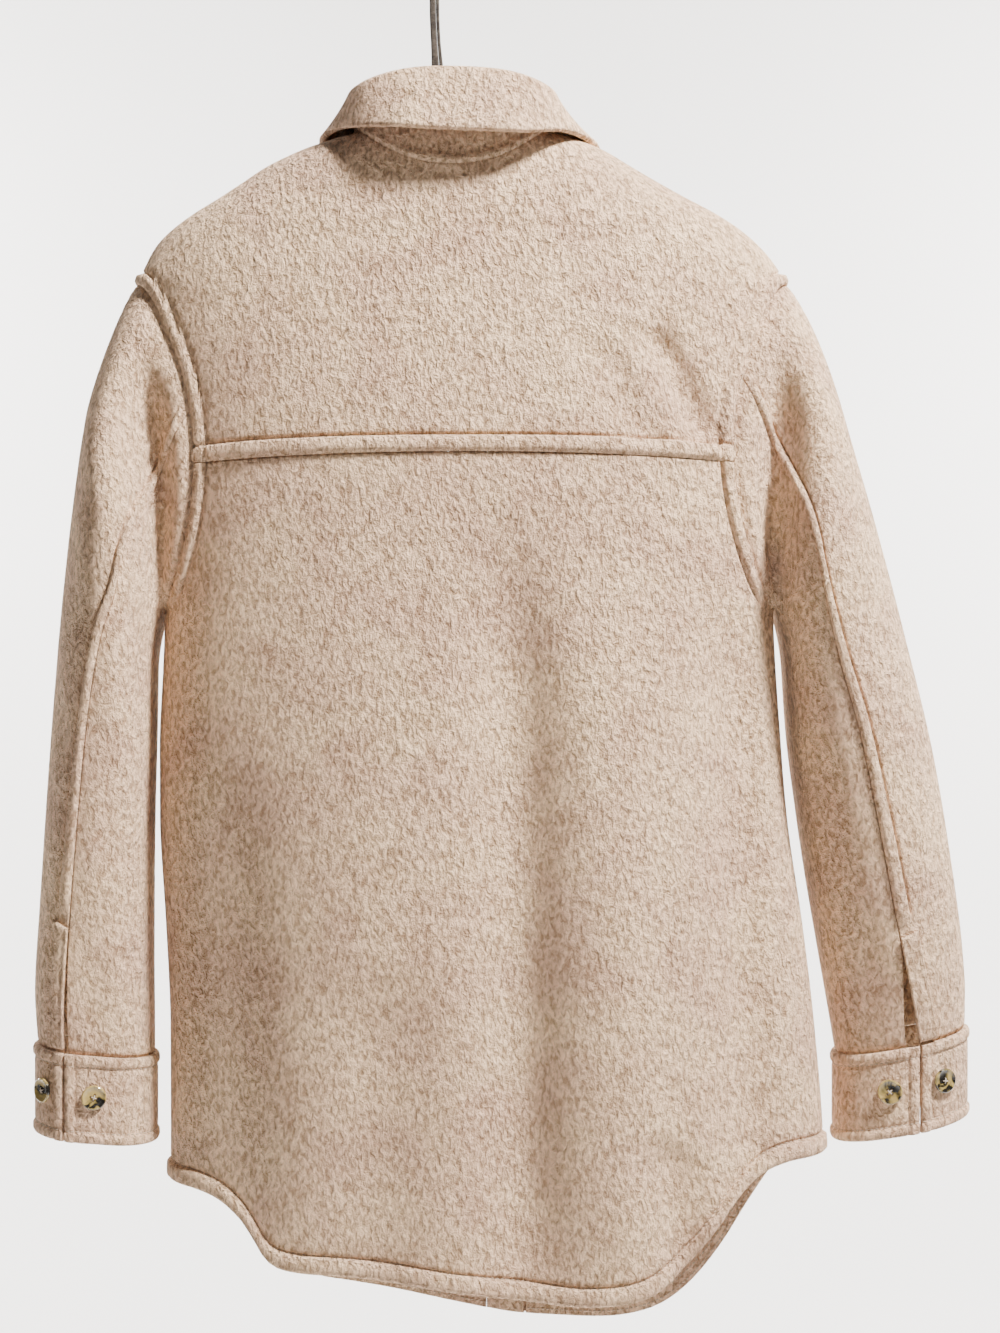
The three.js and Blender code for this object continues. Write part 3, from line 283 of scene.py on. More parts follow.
def armhole_mark(side, w, front):
    """The armhole's line from the shoulder tip (w = 0) to the underarm (w = 1)."""
    z = mix(SHOULDER_TIP_Z, UNDERARM_Z, (1 - np.cos(math.pi * w)) / 2)
    q = (z - SHOULDER_TIP_Z) / (UNDERARM_Z - SHOULDER_TIP_Z)
    scoop = np.where(front, FRONT_SCOOP, 1)
    bow = np.maximum(4 * q * (1 - q), 0) ** ARMHOLE_CURVE
    inset = scoop * ARMHOLE_INSET * bow * (1 - ARMHOLE_LEAN * q**3)
    edge = look_up(BODY, "z", z, "right" if side > 0 else "left")
    angle = np.abs(angle_at(edge - side * inset, z))
    return side * np.where(front, 180 - angle, angle), z


def armhole_angle(side, z, front):
    angle = armhole_mark(side, z_to_armhole(z), front)[0]
    outside = (z <= UNDERARM_Z) | (z >= SHOULDER_TIP_Z)
    return np.where(outside, side * 90, angle)


def neck_mark(angle):
    angle = np.asarray(angle, float)
    size = np.abs(angle)
    share = np.sin(np.radians(np.minimum(size, 90)))
    back_z = mix(NECK_BACK_Z, NECK_SIDE_Z, share**NECK_CURVE_BACK)
    fall = np.maximum(1 - np.sin(np.radians(size)), 0) ** NECK_CURVE_FRONT
    z = np.where(size <= 90, back_z, mix(NECK_SIDE_Z, NECK_FRONT_Z, fall))
    across = NECK_CENTRE + NECK_HALF_WIDTH * np.sin(np.radians(angle))
    body = angle_at(across, z)
    return np.where(size <= 90, body, np.sign(angle) * 180 - body), z


def arc_lengths(points):
    """Running length along the last line of points."""
    step = np.linalg.norm(np.diff(points, axis=-2), axis=-1)
    return np.concatenate([np.zeros(step.shape[:-1] + (1,)), np.cumsum(step, -1)], -1)


def share_at(lengths, place):
    """The share of the line's parameter at a place in millimetres along it."""
    count = lengths.shape[-1] - 1
    place = np.clip(place, 0, lengths[..., -1])
    i = np.clip((lengths < place[..., None]).sum(-1) - 1, 0, count - 1)
    a = np.take_along_axis(lengths, i[..., None], -1)[..., 0]
    b = np.take_along_axis(lengths, i[..., None] + 1, -1)[..., 0]
    return (i + (place - a) / np.maximum(b - a, 1e-9)) / count


# %% [markdown]
# ## Seams, hems and walls
# A felled seam is cloth folded over itself and stitched down: a soft raised band with a rounded edge at
# the seam, and a valley where the row of stitches pulls it in. The same profile, by the distance from
# an edge, serves hems, cuffs and seams. Each panel is a closed wall of real thickness: an outer grid, an
# inner grid and four edges. A Solidify modifier would do it too, but here the edges are rounded.

# %% Functions that build one wall of cloth
BAND_PLACES = (0, 0.5, 1.2, 2.4, 4.2, 6.4)
BAND_ENDS = (-2.2, -1.2, -0.5, 0, 0.6, 1.4, 2.6, 4.2)
VALLEY_DEPTH = 1.7
VALLEY_HALF = 1.3
BAND_ROUND = 2.6  # width of the rounded edges of a band
BAND_LIP = 0.3  # share of its height right at the seam
BAND_DOME = 0.14
PLAIN_PLACES = (0, 0.5, 1.3)
EDGE_ROUND = 0.8


def band_places(width):
    if not width:
        return np.array(PLAIN_PLACES)
    rising = [p for p in BAND_PLACES if p < width - BAND_ROUND]
    return np.array(rising + [width + e for e in BAND_ENDS])


def stops(length, between, start, end, crowd=1.0):
    """Places along an edge of the given lengths: close together over a band, even between."""
    length = np.asarray(length, float)
    first = [np.full(length.shape, p) for p in band_places(start)]
    last = [length - p for p in band_places(end)[::-1]]
    inner = [mix(first[-1], last[0], (i / between) ** crowd) for i in range(1, between)]
    return np.stack(first + inner + last)


def band(distance, width):
    """Height of a band and depth of its stitched valley, by the distance from its edge."""
    if not width:
        return np.zeros_like(distance), np.zeros_like(distance)
    rise = mix(BAND_LIP, 1, smooth(distance / BAND_ROUND))
    fall = smooth((width + 0.4 - distance) / BAND_ROUND)
    dome = 1 - BAND_DOME + BAND_DOME * np.sin(np.clip(distance / width, 0, 1) * math.pi)
    valley = -VALLEY_DEPTH * np.exp(-(((distance - width) / VALLEY_HALF) ** 2))
    return FELL * rise * fall * dome, valley


def combine(bands):
    return np.max([b[0] for b in bands], 0) + np.min([b[1] for b in bands], 0)


def wall_faces(rows, cols):
    """Faces of a wall whose outer and inner grids are numbered one after the other."""
    grid = np.arange(rows * cols).reshape(rows, cols)
    inner = grid + rows * cols

    def quads(a, b, c, d):
        return np.stack([a.ravel(), b.ravel(), c.ravel(), d.ravel()], 1)

    return np.concatenate([
        quads(grid[:-1, :-1], grid[1:, :-1], grid[1:, 1:], grid[:-1, 1:]),
        quads(inner[:-1, :-1], inner[:-1, 1:], inner[1:, 1:], inner[1:, :-1]),
        quads(grid[0, :-1], grid[0, 1:], inner[0, 1:], inner[0, :-1]),
        quads(grid[-1, :-1], inner[-1, :-1], inner[-1, 1:], grid[-1, 1:]),
        quads(grid[:-1, 0], inner[:-1, 0], inner[1:, 0], grid[1:, 0]),
        quads(grid[:-1, -1], grid[1:, -1], inner[1:, -1], inner[:-1, -1]),
    ])


def new_object(name, points, faces, material=None):
    """A mesh object from points in millimetres, with its faces turned outward."""
    mesh = bpy.data.meshes.new(name)
    mesh.from_pydata((np.asarray(points) * MM).tolist(), [], [list(map(int, f)) for f in faces])
    mesh.validate()
    bm = bmesh.new()
    bm.from_mesh(mesh)
    if bm.calc_volume(signed=True) < 0:
        bmesh.ops.reverse_faces(bm, faces=bm.faces)
    bm.to_mesh(mesh)
    bm.free()
    mesh.polygons.foreach_set("use_smooth", [True] * len(mesh.polygons))
    obj = link(bpy.data.objects.new(name, mesh))
    if material:
        mesh.materials.append(material)
    return obj


grids = {}  # the points of each wall, for the rows of stitches


def cloth_wall(name, point, normal, height, wall):
    """A closed wall of cloth with softly rounded edges."""
    rows, cols = point.shape[:2]
    wall = np.array(np.broadcast_to(wall, (rows, cols)), float)
    height = np.array(height, float)
    ring = np.zeros((rows, cols), bool)
    ring[[0, -1]] = True
    ring[:, [0, -1]] = True
    height[ring] -= EDGE_ROUND
    wall[ring] -= EDGE_ROUND
    outer = point + normal * height[..., None]
    inner = point - normal * wall[..., None]
    points = np.concatenate([outer.reshape(-1, 3), inner.reshape(-1, 3)])
    grids[name] = {"outer": outer, "inner": inner, "normal": normal}
    obj = new_object(name, points, wall_faces(rows, cols), wool)
    size_a = arc_lengths(point).max() * MM
    size_b = arc_lengths(point.transpose(1, 0, 2)).max() * MM
    area = sum(face.area for face in obj.data.polygons) / 2
    print(f"{name}: {size_a:.3f} x {size_b:.3f} m, {area:.4f} m2, {2 * len(obj.data.polygons)} triangles")
    return obj


def declare(obj, node):
    """Hangs a visual piece under the root and hides the CAD node that it replaces."""
    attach(obj, "root")
    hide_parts(node)


# %% [markdown]
# ## The wool
# Boiled wool is knitted or woven, then shrunk until its fibres curl into a short dense nap. Close to, it
# is a field of little tufts about 2 mm long that lean the same way, each catching light on one side. A
# stretched, twisted noise gives those tufts as a bump, and the same noise paints shade in their pits and
# highlight on their tips; a slow noise gives the heather mottling of cream and pinkish grey, and sheen
# stands for the fuzz that lights up at the edges.

# %% Make the wool
WOOL_LIGHT = (0.90, 0.635, 0.41, 1)
WOOL_DARK = (0.74, 0.49, 0.335, 1)
TUFT_SCALE = 330.0  # tufts a metre
TUFT_LEAN = math.radians(38)
TUFT_STRETCH = (1.0, 1.0, 0.6)
TUFT_RELIEF = 0.006
FINE_SHARE = 0.35
WAVE_SHARE = 0.9
MOTTLE_SCALE = 16.0


def new_material(name):
    """A material with its node tree, its shader and the object's own coordinates."""
    material = bpy.data.materials.new(name)
    material.use_nodes = True
    tree = material.node_tree
    coords = tree.nodes.new("ShaderNodeTexCoord").outputs["Object"]
    return material, tree, tree.nodes["Principled BSDF"], coords


def set_inputs(node, values):
    for name, value in values.items():
        node.inputs[name].default_value = value


def add_noise(tree, coords, scale, detail, distortion=0.0, stretch=None, turn=(0, 0, 0)):
    noise = tree.nodes.new("ShaderNodeTexNoise")
    set_inputs(noise, {"Scale": scale, "Detail": detail, "Distortion": distortion})
    source = coords
    if stretch:
        mapping = tree.nodes.new("ShaderNodeMapping")
        set_inputs(mapping, {"Scale": stretch, "Rotation": turn})
        tree.links.new(source, mapping.inputs["Vector"])
        source = mapping.outputs["Vector"]
    tree.links.new(source, noise.inputs["Vector"])
    return noise.outputs["Fac"]


def add_ramp(tree, value, stops_and_colours):
    ramp = tree.nodes.new("ShaderNodeValToRGB")
    for i, (place, colour) in enumerate(stops_and_colours):
        element = ramp.color_ramp.elements[i] if i < 2 else ramp.color_ramp.elements.new(place)
        element.position = place
        element.color = colour
    tree.links.new(value, ramp.inputs["Fac"])
    return ramp.outputs["Color"]


def add_mix(tree, factor, a, b, blend="MIX"):
    node = tree.nodes.new("ShaderNodeMix")
    node.data_type = "RGBA"
    node.blend_type = blend
    for socket, value in ((node.inputs["Factor"], factor), (node.inputs["A"], a), (node.inputs["B"], b)):
        if isinstance(value, bpy.types.NodeSocket):
            tree.links.new(value, socket)
        else:
            socket.default_value = value
    return node.outputs["Result"]


def add_scaled(tree, value, factor, other):
    """One value times a factor, plus another value."""
    node = tree.nodes.new("ShaderNodeMath")
    node.operation = "MULTIPLY_ADD"
    node.inputs[1].default_value = factor
    tree.links.new(value, node.inputs[0])
    tree.links.new(other, node.inputs[2])
    return node.outputs[0]


def add_bump(tree, shader, height, strength, distance):
    bump = tree.nodes.new("ShaderNodeBump")
    set_inputs(bump, {"Strength": strength, "Distance": distance})
    tree.links.new(height, bump.inputs["Height"])
    tree.links.new(bump.outputs["Normal"], shader.inputs["Normal"])


def make_wool():
    material, tree, shader, coords = new_material("wool")
    mottle = add_noise(tree, coords, MOTTLE_SCALE, 3.0, 0.6)
    base = add_ramp(tree, mottle, [(0.36, WOOL_DARK), (0.64, WOOL_LIGHT)])
    tufts = add_noise(tree, coords, TUFT_SCALE, 2.5, 0.5, TUFT_STRETCH, (0.0, TUFT_LEAN, 0.0))
    # painted shade in the pits of the nap and painted highlight on the tuft tips, from the bump's own noise
    tip_highlight_pit_shade = add_ramp(tree, tufts, [(0.34, (0.50, 0.44, 0.38, 1)), (0.62, (1.2, 1.2, 1.2, 1))])
    tree.links.new(add_mix(tree, 0.85, base, tip_highlight_pit_shade, "MULTIPLY"), shader.inputs["Base Color"])
    fine = add_noise(tree, coords, TUFT_SCALE * 2.7, 2.0, 0.8)
    waves = add_noise(tree, coords, TUFT_SCALE * 0.24, 2.0, 0.4)
    height = add_scaled(tree, fine, FINE_SHARE, tufts)
    height = add_scaled(tree, waves, WAVE_SHARE, height)
    add_bump(tree, shader, height, 1.0, TUFT_RELIEF)
    set_inputs(shader, {
        "Roughness": 1.0,
        "Specular IOR Level": 0.1,
        "Sheen Weight": 0.25,
        "Sheen Roughness": 0.5,
        "Sheen Tint": (1.0, 0.86, 0.72, 1),
    })
    return material


wool = make_wool()
print("wool:", len(wool.node_tree.nodes), "shader nodes")

# %% [markdown]
# ## The back, the fronts and their bands
# The back hangs from the yoke and ends in a shirt tail that dips between the side seams. The two
# fronts start at the slanting yoke seams, and two bands carry the buttons. A panel's rows run level
# across the body between its side edges, measured along the cloth so that its points stay even.

# %% Build the panels that hang down
HEM_GUESS_Z = -900.0
HEM_PASSES = 5
CALM_PASSES = 4
USUAL_WIDTH = 400.0
BAND_FADE = 20  # the armhole band runs out over this height under the arm


def across_lengths(a, b, z):
    k = np.linspace(0, 1, ARC_STEPS + 1)
    return arc_lengths(body_point(mix(a[..., None], b[..., None], k), z[..., None]))


def body_panel(left, right, top, bottom, between, rows, fell=0, hem=0, lift=0.0, crowd=1.0):
    """Grid of points, normals and heights between two edges, from a top seam to a hem."""
    shares = stops(USUAL_WIDTH, between, fell, fell) / USUAL_WIDTH
    low = np.full(shares.shape, HEM_GUESS_Z)
    for _ in range(HEM_PASSES):
        a = left(low)
        b = right(low)
        lengths = across_lengths(a, b, low)
        low = bottom(mix(a, b, share_at(lengths, shares * lengths[..., -1])))
    high = top(shares)
    length = high - low
    down = stops(length, rows, 0, hem, crowd)
    z = mix(high - SEAM_GAP / 2, low, down / length)
    a = left(z)
    b = right(z)
    lengths = across_lengths(a, b, z)
    total = lengths[..., -1]
    places = np.diagonal(stops(total, between, fell, fell), axis1=0, axis2=2)
    places = np.clip(places, SEAM_GAP / 2, total - SEAM_GAP / 2)
    angle = mix(a, b, share_at(lengths, places))
    inner = slice(len(BAND_PLACES) + len(BAND_ENDS), -len(BAND_PLACES) - len(BAND_ENDS))
    for _ in range(CALM_PASSES):
        angle[1:-1, inner] = (angle[:-2, inner] + 2 * angle[1:-1, inner] + angle[2:, inner]) / 4
    fade = smooth((z - UNDERARM_Z) / BAND_FADE)
    sides = [band(place, fell) for place in (places, total - places)]
    height = combine([band(length - down, hem)] + [(rise * fade, dip * fade) for rise, dip in sides])
    normal = body_normal(angle, z)
    return body_point(angle, z) + normal * lift, normal, height


def hem_z(table, angle):
    z = np.full(np.shape(angle), HEM_GUESS_Z)
    for _ in range(HEM_PASSES):
        z = look_up(table, "x", body_point(angle, z)[..., 0], "z")
    return z


def yoke_seam_z(share):
    return YOKE_SEAM_Z + YOKE_SEAM_RISE * (1 - (2 * share - 1) ** 2)


def front_angle(side, offset, z):
    """The body's angle at a distance from the centre front."""
    return side * 180 - angle_at(body_sides(z)[0] + side * offset, z)


FRONT_W = float(z_to_armhole(SHOULDER_TIP_Z - FRONT_YOKE_DROP))
CORNER_W = float(z_to_armhole(YOKE_SEAM_Z))


def front_yoke_angle(side, z):
    top_angle, top_z = neck_mark(side * FRONT_NECK_ANGLE)
    low_angle, low_z = armhole_mark(side, FRONT_W, True)
    return mix(top_angle, low_angle, np.clip((z - top_z) / (low_z - top_z), 0, 1))


def side_of_front(side):
    def edge(z):
        above = z > SHOULDER_TIP_Z - FRONT_YOKE_DROP
        return np.where(above, front_yoke_angle(side, z), armhole_angle(side, z, True))
    return edge


def front_neck(side, steps=24):
    """The neck seam's height for each share of the way from the yoke seam to the band."""
    k = np.linspace(0, 1, steps + 1)
    angle, z = neck_mark(side * mix(FRONT_NECK_ANGLE, NECK_BAND_ANGLE, k))
    start = side_of_front(side)(z)
    whole = across_lengths(start, front_angle(side, PLACKET_HALF, z), z)[..., -1]
    part = across_lengths(start, angle, z)[..., -1]
    share = part / whole
    share[0] = 0
    share[-1] = 1
    rows = {"share": share, "z": z}
    return lambda s: look_up(rows, "share", s, "z")


back_cells = body_panel(
    lambda z: armhole_angle(-1, z, False), lambda z: armhole_angle(1, z, False),
    lambda share: yoke_seam_z(share) - SEAM_GAP / 2, lambda angle: hem_z(BACK_HEM, angle),
    84, 104, fell=ARMHOLE_FELL, hem=HEM_WIDTH,
)
back_panel = cloth_wall("back_panel_cloth", *back_cells, CLOTH)
declare(back_panel, "back_panel")

for word, side in (("left", -1), ("right", 1)):
    cells = body_panel(
        side_of_front(side), lambda z, s=side: front_angle(s, PLACKET_HALF, z),
        front_neck(side), lambda angle: hem_z(FRONT_HEM, angle),
        40, 116, hem=HEM_WIDTH, crowd=1.3,
    )
    front = cloth_wall(f"front_{word}_cloth", *cells, CLOTH)
    declare(front, f"front_{word}")

for word, side, lift, start, end in (
    ("left", -1, 0, PLACKET_HALF - SEAM_GAP, 3 * SEAM_GAP - PLACKET_HALF),
    ("right", 1, CLOTH + SEAM_GAP, PLACKET_HALF, -PLACKET_HALF),
):
    cells = body_panel(
        lambda z, s=side, o=start: front_angle(s, o, z), lambda z, s=side, o=end: front_angle(s, o, z),
        lambda share: np.full(np.shape(share), NECK_FRONT_Z + 1.2), lambda angle: hem_z(FRONT_HEM, angle),
        6, 130, lift=lift,
    )
    strip = cloth_wall(f"front_band_{word}_cloth", *cells, CLOTH)
    declare(strip, f"front_band_{word}")

# %% [markdown]
# ## The yoke
# The yoke is the piece over the shoulders. It comes over to the front, holds the neck seam, both
# armholes down to the back yoke seam, and ends there in a raised band. A fan of lines from the neck to
# its outer edge covers it, with the lines close together where the bands of two seams meet.

# %% Build the yoke
YOKE_ARM_NECK = 62
END_RAY_GAP = 0.55


def yoke_rays():
    """Neck mark and edge mark of each line of the fan, from the left front round to the right."""
    def arm(side):
        k = np.linspace(0, 1, 17)[:-1]
        w = mix(-FRONT_W, 0, k)
        neck = mix(FRONT_NECK_ANGLE, 90, k)
        k = np.concatenate([np.linspace(0, 0.9, 40), np.linspace(0.9, 1, 12)[1:-1]])
        w = np.concatenate([w, mix(0, CORNER_W, k)])
        neck = np.concatenate([neck, mix(90, YOKE_ARM_NECK, k)])
        start = neck_mark(side * neck)
        behind = armhole_mark(side, np.abs(w), False)
        ahead = armhole_mark(side, np.abs(w), True)
        end = (np.where(w < 0, ahead[0], behind[0]), behind[1])
        return np.stack([start[0], start[1], end[0], end[1]], -1)

    left = float(armhole_mark(-1, CORNER_W, False)[0])
    right = float(armhole_mark(1, CORNER_W, False)[0])
    line = np.linspace(left, right, 200)
    seam = arc_lengths(body_point(line, YOKE_SEAM_Z))
    k = stops(seam[-1], 84, ARMHOLE_FELL, ARMHOLE_FELL) / seam[-1]
    start = neck_mark(mix(-YOKE_ARM_NECK, YOKE_ARM_NECK, k))
    end_angle = np.interp(k * seam[-1], seam, line)
    middle = np.stack([start[0], start[1], end_angle, yoke_seam_z(k)], -1)
    return np.concatenate([arm(-1), middle, arm(1)[::-1]])


def distance_to(points, line):
    """Shortest distance of each point to a densely drawn line."""
    flat = points.reshape(-1, 3)
    best = np.full(len(flat), 1e9)
    for part in np.array_split(line, 8):
        best = np.minimum(best, np.linalg.norm(flat[:, None] - part[None], axis=-1).min(1))
    return best.reshape(points.shape[:-1])


def build_yoke():
    rays = yoke_rays()
    k = np.linspace(0, 1, ARC_STEPS * 2 + 1)
    angle = mix(rays[:, None, 0], rays[:, None, 2], k)
    z = mix(rays[:, None, 1], rays[:, None, 3], k)
    lengths = arc_lengths(body_point(angle, z))
    total = lengths[:, -1]
    places = stops(total - SEAM_GAP / 2, 34, 0, FELL_WIDTH).T
    share = share_at(lengths[:, None], places)
    angle = mix(rays[:, None, 0], rays[:, None, 2], share)
    z = mix(rays[:, None, 1], rays[:, None, 3], share)
    point = body_point(angle, z)
    normal = body_normal(angle, z)
    w = np.linspace(0, CORNER_W, 240)
    front_w = np.linspace(0, FRONT_W, 60)
    arms = []
    for side in (-1, 1):
        arms.append(body_point(*armhole_mark(side, w, False)))
        arms.append(body_point(*armhole_mark(side, front_w, True)))
    share = np.linspace(0, 1, 300)
    corner = [float(armhole_mark(s, CORNER_W, False)[0]) for s in (-1, 1)]
    seam = body_point(mix(corner[0], corner[1], share), yoke_seam_z(share))
    arm_band = band(distance_to(point, np.concatenate(arms)), ARMHOLE_FELL)
    seam_band = band(distance_to(point, seam), FELL_WIDTH)
    height = combine([arm_band, seam_band])
    for end, near in ((0, 1), (-1, -2)):
        point[end] += unit(point[near] - point[end]) * END_RAY_GAP
    return cloth_wall("yoke_cloth", point, normal, height, CLOTH)


yoke = build_yoke()
declare(yoke, "yoke")

# %% [markdown]
# ## The sleeves
# A shirt sleeve is a tapering tube set into the armhole, here of two panels with a raised seam down the
# back. It hangs a little away from the body, and behind the armhole its cloth folds in to a deep crease.
# Each ring of the tube is again a superellipse, and near the armhole the rings blend into its curve.

# %% Sizes and folds of the sleeves
LEFT_SLEEVE = columns("t outer inner zouter zinner depth rear under", [
    (0.0, -246, -221, -236, -462, 62, 78, 186),
    (0.07, -258, -221.5, -276, -487, 65, 100, 188),
    (0.15, -269, -222, -322, -513, 66, 107, 190),
    (0.3, -281, -222.5, -404, -560, 64, 93, 190),
    (0.45, -290, -223.5, -486, -608, 59, 85, 190),
    (0.6, -297, -224, -568, -656, 54, 80, 190),
    (0.8, -305, -224, -676, -720, 46, 74, 190),
    (0.92, -309, -223.5, -738, -760, 41, 71, 190),
    (1.0, -307, -223.5, -776, -785, 38, 69, 190),
])
RIGHT_SLEEVE = columns("t outer inner zouter zinner depth rear under", [
    (0.0, 247, 231, -236, -462, 62, 66, 172),
    (0.07, 262, 232, -276, -487, 65, 90, 170),
    (0.15, 274, 233, -322, -513, 67, 101, 168),
    (0.3, 298, 236, -404, -560, 66, 99, 164),
    (0.45, 320, 242, -486, -608, 62, 94, 158),
    (0.6, 340, 249, -568, -656, 57, 93, 152),
    (0.8, 358, 260, -676, -720, 49, 90, 148),
    (0.92, 364, 267, -734, -760, 43, 86, 146),
    (1.0, 364, 271, -764, -784, 38, 82, 146),
])
# Soft creases: angle round the sleeve, place along it, half widths of both, slant, depth
SLEEVE_FOLDS = {
    -1: columns("angle at around along slant depth", [
        (118, 0.62, 24, 0.20, 40, 3.0),
        (100, 0.90, 20, 0.16, 10, 4.0),
        (60, 0.34, 22, 0.05, -120, 2.2),
        (50, 0.52, 20, 0.04, 160, 2.0),
        (268, 0.38, 26, 0.05, 140, 3.0),
        (300, 0.60, 22, 0.06, -150, 2.6),
    ]),
    1: columns("angle at around along slant depth", [
        (128, 0.55, 22, 0.24, -30, 3.0),
        (118, 0.86, 18, 0.12, 20, 3.0),
        (64, 0.36, 24, 0.05, 110, 2.2),
        (56, 0.58, 20, 0.04, -160, 2.0),
        (262, 0.40, 26, 0.05, -140, 3.0),
        (296, 0.64, 22, 0.06, 150, 2.6),
    ]),
}
SLEEVES = {-1: LEFT_SLEEVE, 1: RIGHT_SLEEVE}
SLEEVE_SQUARENESS = 2.15
SLEEVE_FORWARD = 6
SLEEVE_BLEND = 0.15
CREASE_DEPTH = 25
CREASE_AT = 0.05
CREASE_HALF = 0.035
CREASE_START = 0.05
UNDERARM_ARCH = 4
SEAM_EASE = 0.03
SLEEVE_HEAD = 0.12  # the rows lie closer together down to here
VENT_TOP = 0.79
VENT_GAP = {-1: 2, 1: 6}
SLEEVE_SEAM = 0.5


def sleeve_point(side, angle, t):
    """A point of a sleeve: angle 0 is the outer side, 90 the back, 180 the side against the body."""
    angle, t = np.broadcast_arrays(np.asarray(angle, float), np.asarray(t, float))
    table = SLEEVES[side]
    wanted = ("outer", "inner", "zouter", "zinner", "depth")
    at = {name: look_up(table, "t", t, name) for name in wanted}
    turned = angle % 360
    front = turned > 180
    w = np.where(front, 360 - turned, turned) / 180
    c = np.cos(np.radians(angle))
    s = np.sin(np.radians(angle))
    power = 2 / SLEEVE_SQUARENESS
    half = np.abs(at["outer"] - at["inner"]) / 2
    tube = np.stack([
        (at["outer"] + at["inner"]) / 2 + side * half * signed_power(c, power),
        SLEEVE_FORWARD * t - at["depth"] * signed_power(s, power),
        mix(at["zinner"], at["zouter"], (1 + c) / 2),
    ], -1)
    fold = np.zeros(t.shape)
    for where, along, wide, long, slant, depth in zip(*SLEEVE_FOLDS[side].values()):
        away = (turned - where - slant * (t - along) + 180) % 360 - 180
        fold += depth * np.exp(-((away / wide) ** 2) - ((t - along) / long) ** 2)
    centre = np.stack([(at["outer"] + at["inner"]) / 2, SLEEVE_FORWARD * t, tube[..., 2]], -1)
    tube = tube - unit(tube - centre) * fold[..., None]
    blend = 1 - (1 - np.clip(t / SLEEVE_BLEND, 0, 1)) ** 2
    point = mix(body_point(*armhole_mark(side, w, front)), tube, blend[..., None])
    near = np.exp(-(((t - CREASE_AT) / CREASE_HALF) ** 2)) * smooth(t / CREASE_START)
    beside = smooth((w - 0.22) / 0.22) * smooth((0.95 - w) / 0.35)
    point[..., 1] += np.where(front, -0.5, 1) * CREASE_DEPTH * near * beside
    point[..., 2] += UNDERARM_ARCH * np.sin(math.pi * np.clip(t / 0.05, 0, 1)) * smooth((w - 0.8) / 0.2)
    return point


def sleeve_normal(side, angle, t):
    angle, t = np.broadcast_arrays(np.asarray(angle, float), np.asarray(t, float))
    around = sleeve_point(side, angle + 1, t) - sleeve_point(side, angle - 1, t)
    along = sleeve_point(side, angle, t + 0.004) - sleeve_point(side, angle, np.maximum(t - 0.004, 0))
    normal = unit(np.cross(around, along)) * side
    normal[..., 2] *= smooth((1 - t) / 0.07)
    normal = unit(normal)
    turned = angle % 360
    front = turned > 180
    mark = armhole_mark(side, np.where(front, 360 - turned, turned) / 180, front)
    ease = smooth(t / SEAM_EASE)[..., None]
    return unit(mix(body_normal(*mark), normal, ease))


def sleeve_rows():
    head = np.linspace(0, SLEEVE_HEAD, 22)
    return np.concatenate([head, np.linspace(SLEEVE_HEAD, 1, 96)[1:]])


def sleeve_panel(side, start, end, between, band_at_end):
    """Rows run round the sleeve from one seam to the next, columns run down it."""
    t = sleeve_rows()
    a = start(t)
    b = end(t)
    k = np.linspace(0, 1, 61)
    lengths = arc_lengths(sleeve_point(side, mix(a[:, None], b[:, None], k), t[:, None]))
    total = lengths[:, -1]
    gap = SLEEVE_SEAM / 2
    places = np.clip(stops(total, between, 0, band_at_end), gap, total - gap).T
    angle = mix(a[:, None], b[:, None], share_at(lengths[:, None], places))
    rows = np.broadcast_to(t[:, None], angle.shape)
    settled = smooth(rows / 0.09)
    fade = smooth((VENT_TOP - 0.01 - rows) / 0.02) * smooth(rows / 0.035)
    raised, valley = band(total[:, None] - places, band_at_end)
    wall = CLOTH * mix(0.4, 1, settled)
    return sleeve_point(side, angle, rows), sleeve_normal(side, angle, rows), fade * (raised + valley), wall


def seam_angle(side, column):
    return lambda t: look_up(SLEEVES[side], "t", t, column)


def vent_edge(side):
    back = seam_angle(side, "rear")
    return lambda t: back(t) + 1.6 * VENT_GAP[side] * smooth((t - VENT_TOP) / (1 - VENT_TOP))


def wrapped(side):
    back = seam_angle(side, "rear")
    return lambda t: back(t) + 360


for word, side in (("left", -1), ("right", 1)):
    cells = sleeve_panel(side, vent_edge(side), seam_angle(side, "under"), 26, 0)
    under = cloth_wall(f"sleeve_under_{word}_cloth", *cells)
    declare(under, f"sleeve_under_{word}")
    cells = sleeve_panel(side, seam_angle(side, "under"), wrapped(side), 52, FELL_WIDTH - 1)
    upper = cloth_wall(f"sleeve_upper_{word}_cloth", *cells)
    declare(upper, f"sleeve_upper_{word}")

# %% [markdown]
# ## Sleeve openings and cuffs
# A narrow strip faces each sleeve's opening. The cuff is a straight band of two layers, stitched all
# round its edge, that wraps the sleeve's end and closes with one button beside the opening.

# %% Build the strips and the cuffs
VENT_WIDTH = 13
VENT_WALL = 2.4
VENT_ARC = 40  # the strip is measured back from the opening within this angle
VENT_PLACES = (0, 0.4, 1.2, 2.2, 4, 6.5, 9, 10.8, 11.8, 12.6, 13.0)
VENT_STITCH = (2.4, 0.9, 0.7)  # the stitched valley's place, half width and depth
CUFF_HEIGHT = 62
CUFF_WALL = 5
CUFF_PROUD = 2.2
CUFF_GAP = 1.4
CUFF_BAND = 8
CUFF_BAND_SHARE = 0.45
CUFF_BUTTON_IN = 22
CUFF_BUTTON_DOWN = 0.46


